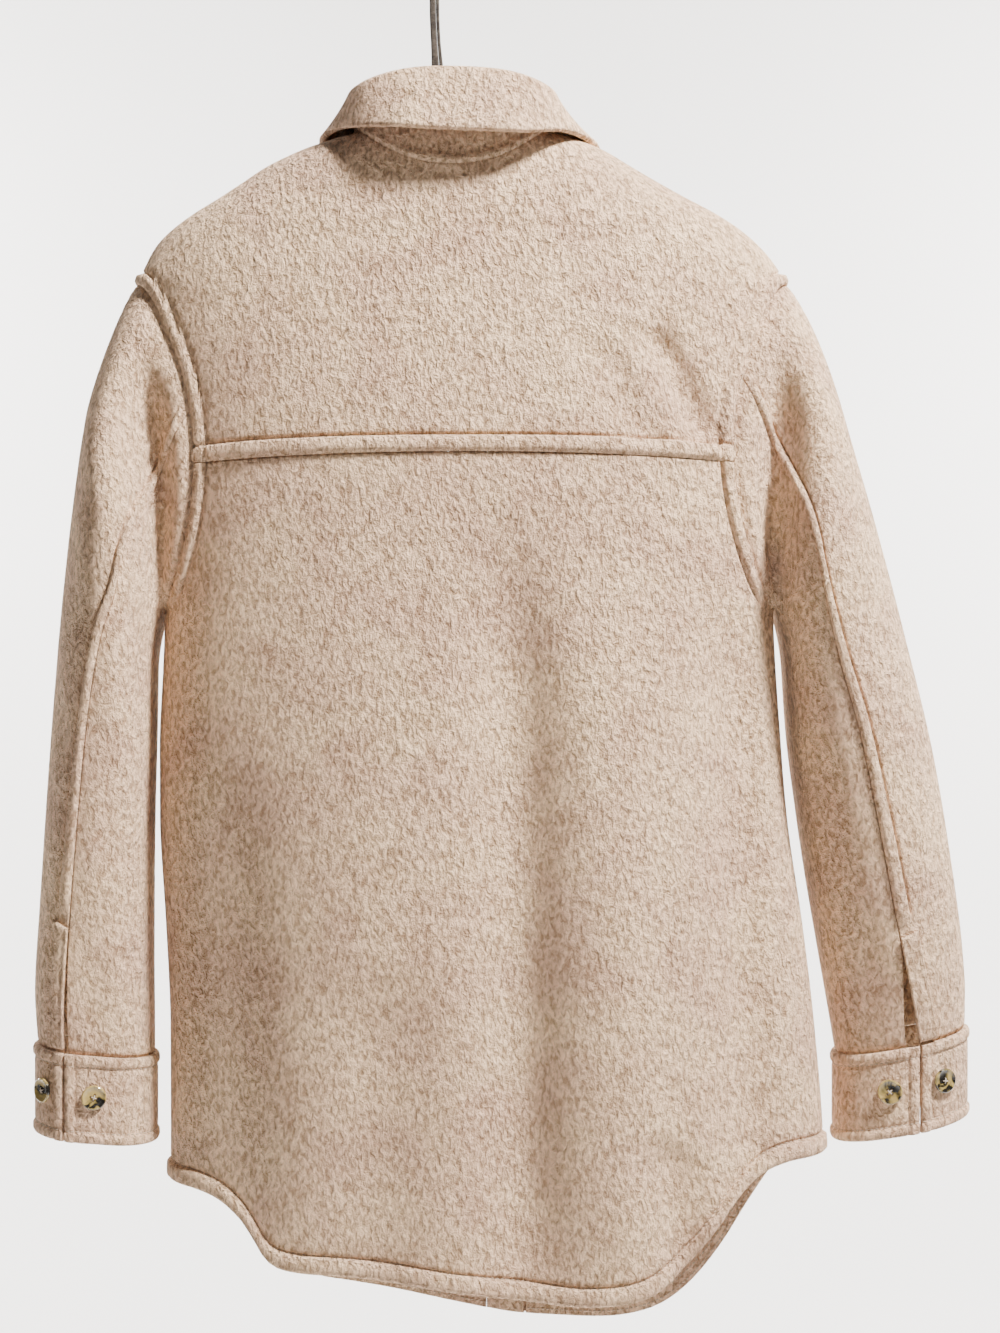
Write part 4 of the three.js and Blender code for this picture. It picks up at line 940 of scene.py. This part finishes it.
def build_vent(word, side):
    t = np.linspace(VENT_TOP + 0.004, 0.994, 40)
    back = seam_angle(side, "rear")(t)
    k = np.linspace(0, 1, 41)
    edge = back[:, None]
    lengths = arc_lengths(sleeve_point(side, mix(edge - VENT_ARC, edge, k), t[:, None]))
    offset = np.array(VENT_PLACES)[::-1]
    share = share_at(lengths[:, None], lengths[:, -1:] - offset)
    angle = mix(edge - VENT_ARC, edge, share)
    rows = np.broadcast_to(t[:, None], angle.shape)
    normal = sleeve_normal(side, angle, rows)
    point = sleeve_point(side, angle, rows) + normal * (VENT_WALL + 2 * SEAM_GAP)
    inset = np.minimum(offset, VENT_WIDTH - offset)
    place, half, depth = VENT_STITCH
    height = np.broadcast_to(-depth * np.exp(-(((inset - place) / half) ** 2)), angle.shape)
    vent = cloth_wall(f"sleeve_vent_{word}_cloth", point, normal, height, VENT_WALL)
    declare(vent, f"sleeve_vent_{word}")


def cuff_line(side, angle):
    """Points of the sleeve's end with their outward directions, level with the ground."""
    end = sleeve_point(side, angle, 1.0)
    around = sleeve_point(side, angle + 1, 1.0) - sleeve_point(side, angle - 1, 1.0)
    out = unit(np.stack([-around[..., 1], around[..., 0], np.zeros(np.shape(angle))], -1)) * -side
    middle = (sleeve_point(side, 0, 1.0) + sleeve_point(side, 180, 1.0)) / 2
    turn = np.sign((out * (end - middle)).sum(-1, keepdims=True))
    return end + out * turn * CUFF_PROUD, out * turn


def cuff_frame(side, place, down):
    """Point and outward direction at a place along the cuff and down it, with the cuff's length."""
    start = float(seam_angle(side, "rear")(1.0))
    k = np.linspace(0, 1, 241)
    lengths = arc_lengths(cuff_line(side, start + 360 * k)[0])
    place = np.where(np.asarray(place) < 0, lengths[-1] + place, place)
    angle = start + 360 * np.interp(place, lengths, k)
    point, out = cuff_line(side, angle)
    point[..., 2] -= 2 * SEAM_GAP + down
    return point, out, lengths[-1]


def build_cuff(word, side):
    total = cuff_frame(side, 0.0, 0.0)[2]
    span = total - CUFF_GAP
    across = stops(span, 60, CUFF_BAND, CUFF_BAND)
    down = stops(CUFF_HEIGHT, 10, CUFF_BAND, CUFF_BAND)
    across, down = np.meshgrid(across, down)
    point, out, _ = cuff_frame(side, across + CUFF_GAP / 2, down)
    edges = [band(d, CUFF_BAND) for d in (down, CUFF_HEIGHT - down, across, span - across)]
    height = combine(edges) * CUFF_BAND_SHARE
    cuff = cloth_wall(f"cuff_{word}_cloth", point, out, height, CUFF_WALL)
    declare(cuff, f"cuff_{word}")


for word, side in (("left", -1), ("right", 1)):
    build_vent(word, side)
    build_cuff(word, side)

# %% [markdown]
# ## The collar
# A turn-down collar has a stand that rises from the neck seam and a fall that rolls over and drops
# outside it. At the back the fall stands off a little, and the dark gap shows the stand and the neck
# seam's welt. The fall is one closed wall, led along a path from the stand over the roll to its edge.

# %% Build the collar's stand and fall
COLLAR = columns("angle roll x y z", [
    (-176, -171, -52, 73, -250),
    (-150, -150, -76, 72, -205),
    (-125, -123, -96, 64, -161),
    (-100, -106, -103, 24, -131),
    (-80, -102, -100, -14, -127),
    (-60, -97, -84, -47, -128),
    (-30, -90, -45, -73, -133),
    (-8, -88, -12, -78, -136),
    (30, -90, 42, -74, -137),
    (60, -97, 74, -50, -131),
    (80, -103, 94, -16, -130),
    (100, -107, 101, 24, -133),
    (125, -124, 93, 64, -163),
    (150, -151, 74, 72, -207),
    (176, -171, 50, 73, -250),
])
COLLAR_END = 176
COLLAR_WALL = 4.4
STAND_SHARE = 0.46
STAND_TUCK = 3.0
TUCK_INWARD = 1.6
WELT_UP = 3.2
WELT_RISE = 1.8
STAND_LEAN = 0.05
ROLL_RADIUS = 5
ROLL_TURN = 135
FALL_CLEAR = 3.0
FALL_STITCH = (7, 1.6, 0.9)  # the groove of the edge's stitches: place, half width and depth
FALL_PUFF = (3, 2.4, 0.5)  # the puffed edge outside it, in the same order


def neck_frame(angle):
    point = body_point(*neck_mark(angle))
    along = body_point(*neck_mark(angle + 1)) - body_point(*neck_mark(angle - 1))
    out = unit(np.stack([along[..., 1], -along[..., 0], np.zeros(angle.shape)], -1))
    middle = np.array([NECK_CENTRE, 0, 0])
    turn = np.sign((out * (point - middle) * (1, 1, 0)).sum(-1, keepdims=True))
    return point, out * turn


def surface_depth(x, y, z, margin):
    """How far the body's surface stands off in depth at a place, wider by a margin."""
    centre, half = body_sides(z)
    share = np.abs(x - centre) / (half + margin)
    inside = np.maximum(1 - share**SQUARENESS, 0) ** (1 / SQUARENESS)
    return np.where(share >= 1, -1e9, (body_depth(z, y < 0) + margin) * inside)


def clear_of_body(point, margin):
    """Lifts points clear of the body's outer face, the shorter way: upwards or away in depth."""
    x, y, z = np.moveaxis(point, -1, 0)
    needed = surface_depth(x, y, z, margin)
    push = needed - np.abs(y)
    rise = np.full(x.shape, 1e9)
    for step in np.arange(0, 40, 0.25):
        freed = surface_depth(x, y, z + step, margin) <= np.abs(y)
        rise = np.where(freed & (rise > 1e8), step, rise)
    lift = (push > 0) & (rise < push)
    away = (push > 0) & ~lift
    z = np.where(lift, z + rise, z)
    y = np.where(away, np.where(y < 0, -1, 1) * needed, y)
    return np.stack([x, y, z], -1)


def build_stand():
    angle = np.linspace(-COLLAR_END, COLLAR_END, 150)
    point, out = neck_frame(angle)
    rise = (look_up(COLLAR, "angle", angle, "roll") - point[:, 2]) * STAND_SHARE
    k = np.array([0, 0.06, 0.14, 0.2, 0.28, 0.38, 0.5, 0.65, 0.8, 0.94, 1])[:, None]
    up = mix(-STAND_TUCK, rise, k)
    point = point + out * (-STAND_LEAN * up - TUCK_INWARD * smooth(1 - (up + STAND_TUCK) / 4))[..., None]
    point[..., 2] += up
    out = np.broadcast_to(out, point.shape)
    welt = WELT_RISE * np.exp(-(((up - WELT_UP) / 1.9) ** 2)) * smooth((110 - np.abs(angle)) / 20)
    stand = cloth_wall("collar_stand_cloth", point, out, welt, CLOTH)
    declare(stand, "collar_stand")


def fall_path(angle):
    """Path of the fall's middle from the stand over the roll to its edge, for each angle."""
    point, out = neck_frame(angle)
    roll = look_up(COLLAR, "angle", angle, "roll")
    edge = np.stack([look_up(COLLAR, "angle", angle, name) for name in ("x", "y", "z")], -1)
    height = roll - point[:, 2]
    start = height * STAND_SHARE + 3 * SEAM_GAP
    shift = -STAND_LEAN * start - CLOTH / 2
    top = height - ROLL_RADIUS - COLLAR_WALL / 2

    def at(offset, rise):
        place = point + out * np.broadcast_to(offset, roll.shape)[:, None]
        place[:, 2] += rise
        return place

    path = [at(shift, start), at(shift, mix(start, top, 0.35)), at(shift, mix(start, top, 0.7))]
    for turn in np.radians(np.linspace(0, ROLL_TURN, 8)):
        lift = ROLL_RADIUS * math.sin(turn)
        over = ROLL_RADIUS * (1 - math.cos(turn))
        path.append(at(shift + over, np.maximum(top, start + 1.5) + lift))
    last = path[-1]
    control = at(shift + ROLL_RADIUS * 2.1, top - 2)
    for k in (0.08, 0.17, 0.27, 0.38, 0.5, 0.62, 0.74, 0.84, 0.91, 0.96, 0.99, 1.0):
        place = mix(mix(last, control, k), mix(control, edge, k), k)
        path.append(clear_of_body(place, COLLAR_WALL / 2 + FALL_CLEAR))
    return np.stack(path, 1)


def build_fall():
    ends = np.array([COLLAR_END, COLLAR_END - 0.4])
    between = np.linspace(-COLLAR_END + 1.6, COLLAR_END - 1.6, 190)
    angle = np.concatenate([-ends, between, ends[::-1]])
    path = fall_path(angle)
    along = np.gradient(path, axis=1)
    across = np.gradient(path, axis=0)
    normal = unit(np.cross(across, along))
    lengths = arc_lengths(path)
    from_edge = lengths[:, -1:] - lengths
    half = COLLAR_WALL / 2
    groove, puff = (
        depth * np.exp(-(((from_edge - place) / wide) ** 2))
        for place, wide, depth in (FALL_STITCH, FALL_PUFF)
    )
    fall = cloth_wall("collar_fall_cloth", path, normal, half - groove + puff, half)
    declare(fall, "collar_fall")


build_stand()
build_fall()

# %% [markdown]
# ## The buttons
# The cuff buttons are cast resin that copies horn: a dished face inside a raised rim, four holes and a
# cross of thread. A lathe turns such a button, and so does a spin of its half section here. The holes
# are real ones, cut with thin cylinders.

# %% Model one button and set the ten
BUTTON_RADIUS = 8.8
BUTTON_HEIGHT = 3.4
BUTTON_DISH = 1.1
BUTTON_RIM = 1.6
HOLE_RADIUS = 0.85
HOLE_OFFSET = 1.55
FRONT_BUTTONS = (-224, -318, -430, -542, -654, -766)


def make_horn():
    material, tree, shader, coords = new_material("horn")
    marble = add_noise(tree, coords, 75.0, 2.0, 1.2)
    amber = (0.42, 0.30, 0.10, 1)
    olive = (0.20, 0.15, 0.05, 1)
    black = (0.012, 0.010, 0.008, 1)
    colour = add_ramp(tree, marble, [(0.42, black), (0.54, amber), (0.46, olive)])
    tree.links.new(colour, shader.inputs["Base Color"])
    set_inputs(shader, {"Roughness": 0.12, "Coat Weight": 0.8, "Coat Roughness": 0.05})
    return material


def make_plain(name, colour, roughness):
    material, tree, shader, coords = new_material(name)
    grain = add_noise(tree, coords, 1500.0, 2.0)
    dark = tuple(0.75 * c for c in colour[:3]) + (1,)
    tree.links.new(add_ramp(tree, grain, [(0.3, dark), (0.7, colour)]), shader.inputs["Base Color"])
    set_inputs(shader, {"Roughness": roughness})
    return material


horn = make_horn()
thread = make_plain("thread", (0.60, 0.50, 0.41, 1), 0.8)


def activate(obj):
    bpy.ops.object.select_all(action="DESELECT")
    obj.select_set(True)
    bpy.context.view_layer.objects.active = obj


def turned_button():
    """A button around the Z axis with its back at the origin."""
    rim = BUTTON_RADIUS - BUTTON_RIM
    profile = [
        (0, 0.3), (BUTTON_RADIUS * 0.7, 0.3), (BUTTON_RADIUS * 0.9, 0.7), (BUTTON_RADIUS - 0.2, 1.5),
        (BUTTON_RADIUS, 2.1), (BUTTON_RADIUS - 0.25, 2.9), (BUTTON_RADIUS - 0.9, BUTTON_HEIGHT),
        (rim + 0.1, BUTTON_HEIGHT - 0.25), (rim - 1.0, BUTTON_HEIGHT - BUTTON_DISH + 0.15),
        (rim - 2.4, BUTTON_HEIGHT - BUTTON_DISH), (0, BUTTON_HEIGHT - BUTTON_DISH + 0.1),
    ]
    mesh = bpy.data.meshes.new("button")
    points = [(r * MM, 0, z * MM) for r, z in profile]
    mesh.from_pydata(points, [(i, i + 1) for i in range(len(points) - 1)], [])
    obj = link(bpy.data.objects.new("button", mesh))
    activate(obj)
    bpy.ops.object.mode_set(mode="EDIT")
    bpy.ops.mesh.select_all(action="SELECT")
    bpy.ops.mesh.spin(steps=40, angle=math.tau, center=(0, 0, 0), axis=(0, 0, 1))
    bpy.ops.mesh.select_all(action="SELECT")
    bpy.ops.mesh.remove_doubles(threshold=1e-5)
    bpy.ops.mesh.normals_make_consistent(inside=False)
    bpy.ops.object.mode_set(mode="OBJECT")
    for x in (-HOLE_OFFSET, HOLE_OFFSET):
        for y in (-HOLE_OFFSET, HOLE_OFFSET):
            bpy.ops.mesh.primitive_cylinder_add(
                vertices=14, radius=HOLE_RADIUS * MM, depth=10 * MM, location=(x * MM, y * MM, 0))
            drill = bpy.context.object
            activate(obj)
            cut = obj.modifiers.new("hole", "BOOLEAN")
            cut.operation = "DIFFERENCE"
            cut.object = drill
            cut.solver = "EXACT"
            bpy.ops.object.modifier_apply(modifier=cut.name)
            bpy.data.objects.remove(drill)
    bpy.ops.object.shade_smooth_by_angle(angle=math.radians(35))
    return obj


def tube_between(name, path, radius, sides=8, material=None):
    """A round thread along a path, in millimetres."""
    path = np.asarray(path, float)
    along = unit(np.gradient(path, axis=0))
    helper = np.where(np.abs(along[:, 2:3]) < 0.9, (0, 0, 1), (1, 0, 0))
    u = unit(np.cross(along, helper))
    v = np.cross(along, u)
    turn = np.linspace(0, math.tau, sides, endpoint=False)
    size = np.full(len(path), radius)
    size[[0, -1]] = radius * 0.3
    ring = np.cos(turn)[None, :, None] * u[:, None] + np.sin(turn)[None, :, None] * v[:, None]
    points = path[:, None] + ring * size[:, None, None]
    grid = np.arange(len(path) * sides).reshape(len(path), sides)
    grid = np.hstack([grid, grid[:, :1]])
    faces = np.stack([grid[:-1, :-1], grid[:-1, 1:], grid[1:, 1:], grid[1:, :-1]], -1).reshape(-1, 4).tolist()
    faces += [grid[0, :-1][::-1].tolist(), grid[-1, :-1].tolist()]
    return new_object(name, points.reshape(-1, 3), faces, material)


def place_copy(source, name, point, out, material, spin=0.0):
    """A copy of a piece made round Z, set on a surface; the place goes into its mesh."""
    obj = source.copy()
    obj.data = source.data.copy()
    obj.name = name
    obj.data.name = name
    turn = Vector(out).to_track_quat("Z", "Y").to_matrix().to_4x4()
    obj.data.transform(Matrix.Translation(Vector(point) * MM) @ turn @ Matrix.Rotation(spin, 4, "Z"))
    obj.data.materials.clear()
    obj.data.materials.append(material)
    return link(obj)


button = turned_button()
face = BUTTON_HEIGHT - BUTTON_DISH + 0.35
cross = []
for sign in (-1, 1):
    k = np.linspace(-1, 1, 9)
    arch = face + 0.35 - 1.6 * np.abs(k) ** 6 + (0.3 if sign > 0 else 0)
    cross.append(tube_between("cross", np.stack([k * HOLE_OFFSET, sign * k * HOLE_OFFSET, arch], 1), 0.42))
activate(cross[0])
cross[1].select_set(True)
bpy.ops.object.join()
cross = bpy.context.object

button_places = {}
for i, z in enumerate(FRONT_BUTTONS):
    angle = front_angle(1, 0, float(z))
    out = body_normal(angle, float(z))
    button_places[f"front_button_{i + 1}"] = (body_point(angle, float(z)) + out * (CLOTH + SEAM_GAP), out)
for word, side in (("left", -1), ("right", 1)):
    for place, along in (("main", CUFF_BUTTON_IN), ("flap", -CUFF_BUTTON_IN * 0.8)):
        point, out, _ = cuff_frame(side, along, CUFF_HEIGHT * CUFF_BUTTON_DOWN)
        button_places[f"cuff_button_{place}_{word}"] = (point, out)
for n, (node, (point, out)) in enumerate(button_places.items()):
    seat = point + out * (SEAM_GAP - 0.3)
    horn_button = place_copy(button, f"{node}_horn", seat, out, horn, 0.6 * n)
    declare(horn_button, node)
    sewn = place_copy(cross, f"{node}_thread", seat, out, thread, 0.6 * n)
    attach(sewn, "root")
for spare in (button, cross):
    bpy.data.objects.remove(spare)
print("buttons:", len(button_places))

# %% [markdown]
# ## The sewing thread
# Lockstitches show as short rounded dashes that lie in the valley beside each raised band, nearly
# hidden by the nap. On the inside of the front hem two rows lie bare and catch the light. Each dash is
# a small capsule along the line of the seam, sunk a little into the cloth.

# %% Sew the hems and the cuffs
STITCH_STEP = 3.6
STITCH_LONG = 2.7
STITCH_RADIUS = 0.45
STITCH_RINGS = 4
STITCH_SIDES = 6
HEM_VALLEY = -10  # the row of a panel's grid that lies in the valley beside its hem
CUFF_VALLEYS = (8, -9)  # the same rows of a cuff, beside its upper and its lower edge
INNER_ROWS = (-5, -7)  # the rows of bare stitches on the inside of the front hem
seam_thread = make_plain("seam thread", (0.62, 0.46, 0.33, 1), 0.75)


def stitch_row(path, away):
    """Capsules along a line on the cloth, as points for each stitch, ring and side."""
    lengths = arc_lengths(path)
    starts = np.arange(2.0, lengths[-1] - STITCH_LONG - 1, STITCH_STEP)
    shares = np.array([0, 0.16, 0.84, 1.0])
    places = starts[:, None] + shares * STITCH_LONG
    centre = np.stack([np.interp(places, lengths, path[:, i]) for i in range(3)], -1)
    lift = np.stack([np.interp(places, lengths, away[:, i]) for i in range(3)], -1)
    centre = centre + lift * (STITCH_RADIUS * np.array([-0.5, 0.35, 0.35, -0.5]))[:, None]
    along = unit(centre[:, -1:] - centre[:, :1])
    across = unit(np.cross(along, lift))
    turn = np.linspace(0, math.tau, STITCH_SIDES, endpoint=False)[:, None]
    size = (STITCH_RADIUS * np.array([0.35, 1, 1, 0.35]))[:, None, None]
    ring = np.cos(turn) * unit(lift)[:, :, None] + np.sin(turn) * across[:, :, None]
    return centre[:, :, None] + ring * size


def sew(name, rows):
    """One object with the stitches of several rows."""
    stitches = np.concatenate([stitch_row(path, away) for path, away in rows])
    count = len(stitches)
    grid = np.arange(stitches[..., 0].size).reshape(count, STITCH_RINGS, STITCH_SIDES)
    loop = np.concatenate([grid, grid[:, :, :1]], 2)
    corners = [loop[:, :-1, :-1], loop[:, :-1, 1:], loop[:, 1:, 1:], loop[:, 1:, :-1]]
    faces = np.stack(corners, -1).reshape(-1, 4).tolist()
    faces += grid[:, 0, ::-1].tolist() + grid[:, -1].tolist()
    obj = new_object(name, stitches.reshape(-1, 3), faces, seam_thread)
    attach(obj, "root")
    print(f"{name}: {count} stitches")


def row_of(name, face, row):
    """A row of a wall's outer or inner grid, with the directions away from the cloth."""
    grid = grids[name]
    sign = 1 if face == "outer" else -1
    return grid[face][row], sign * grid["normal"][row]


hem_rows = []
for name in ("back_panel", "front_left", "front_right"):
    hem_rows.append(row_of(f"{name}_cloth", "outer", HEM_VALLEY))
for name in ("front_left", "front_right"):
    hem_rows += [row_of(f"{name}_cloth", "inner", row) for row in INNER_ROWS]
sew("hem_thread", hem_rows)
cuff_rows = []
for word in ("left", "right"):
    cuff_rows += [row_of(f"cuff_{word}_cloth", "outer", row) for row in CUFF_VALLEYS]
sew("cuff_thread", cuff_rows)

# %% [markdown]
# ## The hanger
# A slim hanger is one flat plastic blank with a bar, sprayed with short fibres so that cloth doesn't
# slip. Its arms follow the shoulders. The outline is drawn as a polygon with a hole, given thickness
# with Solidify and softened with Bevel, as a moulded part is.

# %% Build the hanger and its hook
HANGER_CENTRE = -16
HANGER_LEFT = -215
HANGER_RIGHT = 188
HANGER_THICK = 5
HANGER_ARM = 13
HANGER_BAR_Z = -268
HANGER_BAR = 8
SHOULDER_GAP = 5.5
NECK_DROP = 12
NECK_SPAN = 64
NECK_FLAT = 1.1
CORNER = 14
HOOK_WIDE = 7
HOOK_ROOT = 12
HOOK_DEEP = 5
HOOK_RADIUS = 20
HOOK_BASE = -112
HOOK_STRAIGHT_TO = -24
HOOK_TAIL_ANGLE = -15
FLOCK_RELIEF = 0.0008


def make_flock():
    material, tree, shader, coords = new_material("flock")
    fuzz = add_noise(tree, coords, 1400.0, 3.0, 0.5)
    wear = add_noise(tree, coords, 140.0, 3.0, 1.0)
    base = add_ramp(tree, wear, [(0.35, (0.030, 0.023, 0.018, 1)), (0.75, (0.10, 0.080, 0.064, 1))])
    # painted shade where the fibre bump is low and painted highlight where it is high
    tip_highlight_pit_shade = add_ramp(tree, fuzz, [(0.35, (0.55, 0.55, 0.55, 1)), (0.7, (1.3, 1.3, 1.3, 1))])
    tree.links.new(add_mix(tree, 0.8, base, tip_highlight_pit_shade, "MULTIPLY"), shader.inputs["Base Color"])
    add_bump(tree, shader, fuzz, 0.8, FLOCK_RELIEF)
    set_inputs(shader, {"Roughness": 1.0, "Sheen Weight": 0.15, "Sheen Tint": (0.85, 0.8, 0.76, 1)})
    return material


flock = make_flock()


def ridge_z(x):
    """Height of the shoulder ridge over a place across the body."""
    column = "left" if x < NECK_CENTRE else "right"
    high = -100.0
    low = float(SHOULDER_TIP_Z)
    for _ in range(30):
        z = (high + low) / 2
        if abs(look_up(BODY, "z", z, column) - NECK_CENTRE) < abs(x - NECK_CENTRE):
            high = z
        else:
            low = z
    return (high + low) / 2


def quarter(start, corner, end, steps=6):
    """A quadratic curve round a corner."""
    start, corner, end = (np.array(p, float) for p in (start, corner, end))
    k = np.linspace(0, 1, steps + 1)[:, None]
    return mix(mix(start, corner, k), mix(corner, end, k), k).tolist()


def flat_piece(name, loops, thick, bevel):
    """A plate from closed outlines in the XZ plane, softened on its edges."""
    bm = bmesh.new()
    for loop in loops:
        verts = [bm.verts.new((x * MM, 0, z * MM)) for x, z in loop]
        for a, b in zip(verts, verts[1:] + verts[:1]):
            bm.edges.new((a, b))
    bmesh.ops.triangle_fill(bm, edges=bm.edges, use_beauty=True, use_dissolve=True)
    mesh = bpy.data.meshes.new(name)
    bm.to_mesh(mesh)
    bm.free()
    obj = link(bpy.data.objects.new(name, mesh))
    mesh.materials.append(flock)
    activate(obj)
    solid = obj.modifiers.new("thickness", "SOLIDIFY")
    solid.thickness = thick * MM
    solid.offset = 0
    soft = obj.modifiers.new("soft edges", "BEVEL")
    soft.width = bevel * MM
    soft.segments = 3
    soft.limit_method = "ANGLE"
    soft.angle_limit = math.radians(50)
    for modifier in list(obj.modifiers):
        bpy.ops.object.modifier_apply(modifier=modifier.name)
    bpy.ops.object.mode_set(mode="EDIT")
    bpy.ops.mesh.select_all(action="SELECT")
    bpy.ops.mesh.normals_make_consistent(inside=False)
    bpy.ops.object.mode_set(mode="OBJECT")
    bpy.ops.object.shade_smooth_by_angle(angle=math.radians(35))
    return obj


def hanger_outline():
    top = []
    for x in np.linspace(HANGER_LEFT, HANGER_RIGHT, 53):
        if abs(x - NECK_CENTRE) > NECK_HALF_WIDTH:
            slope = (ridge_z(x + 2) - ridge_z(x - 2)) / 4
            top.append((x, ridge_z(x) - SHOULDER_GAP * math.hypot(1, slope)))
        else:
            peak = min(1, max(0, NECK_FLAT - abs(x - HANGER_CENTRE) / NECK_SPAN))
            top.append((x, mix(NECK_SIDE_Z - NECK_DROP, HOOK_BASE, peak)))
    low = HANGER_BAR_Z
    outer = list(top)
    outer += quarter((HANGER_RIGHT + 4, low + CORNER), (HANGER_RIGHT + 2, low), (HANGER_RIGHT - CORNER, low))
    outer += quarter((HANGER_LEFT + CORNER, low), (HANGER_LEFT - 2, low), (HANGER_LEFT - 4, low + CORNER))
    floor = low + HANGER_BAR
    kept = [(x, z) for x, z in top if HANGER_LEFT + 20 < x < HANGER_RIGHT - 20]
    inner = [(x, max(z - HANGER_ARM, floor + 3)) for x, z in kept]
    inner += quarter((HANGER_RIGHT - CORNER, floor + 6), (HANGER_RIGHT - CORNER - 1, floor),
                     (HANGER_RIGHT - CORNER - 10, floor))
    inner += quarter((HANGER_LEFT + CORNER + 10, floor), (HANGER_LEFT + CORNER + 1, floor),
                     (HANGER_LEFT + CORNER, floor + 6))
    return outer, inner


def hook_line():
    """Middle of the hook's strap with its half width: a leaning shank, then the bend."""
    rows = []
    for k in np.linspace(0, 1, 13)[:-1]:
        x = mix(HANGER_CENTRE, -HOOK_RADIUS, float(smooth(k)))
        z = mix(HOOK_BASE + SEAM_GAP, HOOK_STRAIGHT_TO, k)
        rows.append((x, z, mix(HOOK_ROOT, HOOK_WIDE, float(smooth(k * 1.4))) / 2))
    centre_z = HOOK_WIDE / 2 - HOOK_RADIUS
    for turn in np.arange(180, HOOK_TAIL_ANGLE - 1, -6):
        a = math.radians(turn)
        rows.append((HOOK_RADIUS * math.cos(a), centre_z + HOOK_RADIUS * math.sin(a), HOOK_WIDE / 2))
    return np.array(rows)


def strap(rows, from_share, to_share):
    """Outline of a lengthwise part of the strap, from one share of its width to another."""
    along = np.gradient(rows[:, :2], axis=0)
    along = along / np.linalg.norm(along, axis=1, keepdims=True)
    side = np.stack([-along[:, 1], along[:, 0]], 1)
    side[0] = (-1, 0)
    a = rows[:, :2] + side * rows[:, 2:] * from_share
    b = rows[:, :2] + side * rows[:, 2:] * to_share
    return [tuple(p) for p in a] + [tuple(p) for p in b[::-1]]


plate = flat_piece("hanger_flock", hanger_outline(), HANGER_THICK, 1.2)
declare(plate, "hanger")
hook = flat_piece("hanger_hook_flock", [strap(hook_line(), 1.0, -0.3)], HOOK_DEEP, 1.4)
declare(hook, "hanger_hook")
rib = flat_piece("hanger_hook_rib", [strap(hook_line(), -0.34, -1.0)], HOOK_DEEP * 0.8, 0.9)
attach(rib, "root")
print("hanger:", len(plate.data.polygons), "hook:", len(hook.data.polygons), "faces")

# %% [markdown]
# ## Stage and light
# The picture was taken in front of a pale warm wall, and most of its light comes from high on the right
# near the camera. One area light gives it and a weak one opens the shadows. Two more brighten the wall,
# a faint one reaches the side that faces the wall, and the world fills the rest.

# %% Build the backdrop and the lights
BACKDROP_Y = 3.4
SWEEP = 1.0
FLOOR_Z = -1.75
BACKDROP = (0.88, 0.865, 0.85, 1)
WORLD_COLOUR = (1.0, 0.975, 0.95, 1)
WORLD_STRENGTH = 0.08
WALL_LIGHT_X = 2.4
WALL_AIM_X = 0.5


def make_backdrop():
    material, tree, shader, coords = new_material("backdrop paint")
    cloud = add_noise(tree, coords, 1.2, 2.0)
    light = tuple(min(1, 1.04 * c) for c in BACKDROP[:3]) + (1,)
    tree.links.new(add_ramp(tree, cloud, [(0.3, BACKDROP), (0.7, light)]), shader.inputs["Base Color"])
    set_inputs(shader, {"Roughness": 0.95})
    return material


def build_backdrop():
    """A floor that sweeps up into a wall."""
    profile = [(-5.0, FLOOR_Z), (BACKDROP_Y - SWEEP, FLOOR_Z)]
    for turn in range(10, 91, 10):
        a = math.radians(turn)
        profile.append((BACKDROP_Y - SWEEP + SWEEP * math.sin(a), FLOOR_Z + SWEEP - SWEEP * math.cos(a)))
    profile.append((BACKDROP_Y, 3.0))
    points = [(x * 1000, y * 1000, z * 1000) for y, z in profile for x in (-5, 5)]
    faces = [(2 * i, 2 * i + 1, 2 * i + 3, 2 * i + 2) for i in range(len(profile) - 1)]
    wall = new_object("backdrop", points, faces, make_backdrop())


def area_light(name, place, aim, size, power, colour):
    data = bpy.data.lights.new(name, "AREA")
    data.shape = "DISK"
    data.size = size
    data.energy = power
    data.color = colour
    light = link(bpy.data.objects.new(name, data))
    light.location = place
    light.visible_camera = False
    light.rotation_euler = (Vector(aim) - Vector(place)).to_track_quat("-Z", "Y").to_euler()


build_backdrop()
area_light("key", (1.25, -0.85, 1.35), (0.02, 0, -0.35), 0.4, 255, (1.0, 0.965, 0.92))
area_light("fill", (-0.5, -2.8, -0.3), (0.0, 0, -0.6), 1.6, 4, (1.0, 0.97, 0.95))
for side in (-1, 1):
    aim = (WALL_AIM_X * side, BACKDROP_Y, -0.4)
    area_light("wall light", (WALL_LIGHT_X * side, 1.7, 0.5), aim, 1.0, 230, (1.0, 0.99, 0.98))
area_light("front light", (-0.9, 2.4, 0.7), (0, 0, -0.5), 1.0, 18, (1.0, 0.985, 0.97))
world = bpy.data.worlds.new("studio")
world.use_nodes = True
set_inputs(world.node_tree.nodes["Background"], {"Color": WORLD_COLOUR, "Strength": WORLD_STRENGTH})
bpy.context.scene.world = world
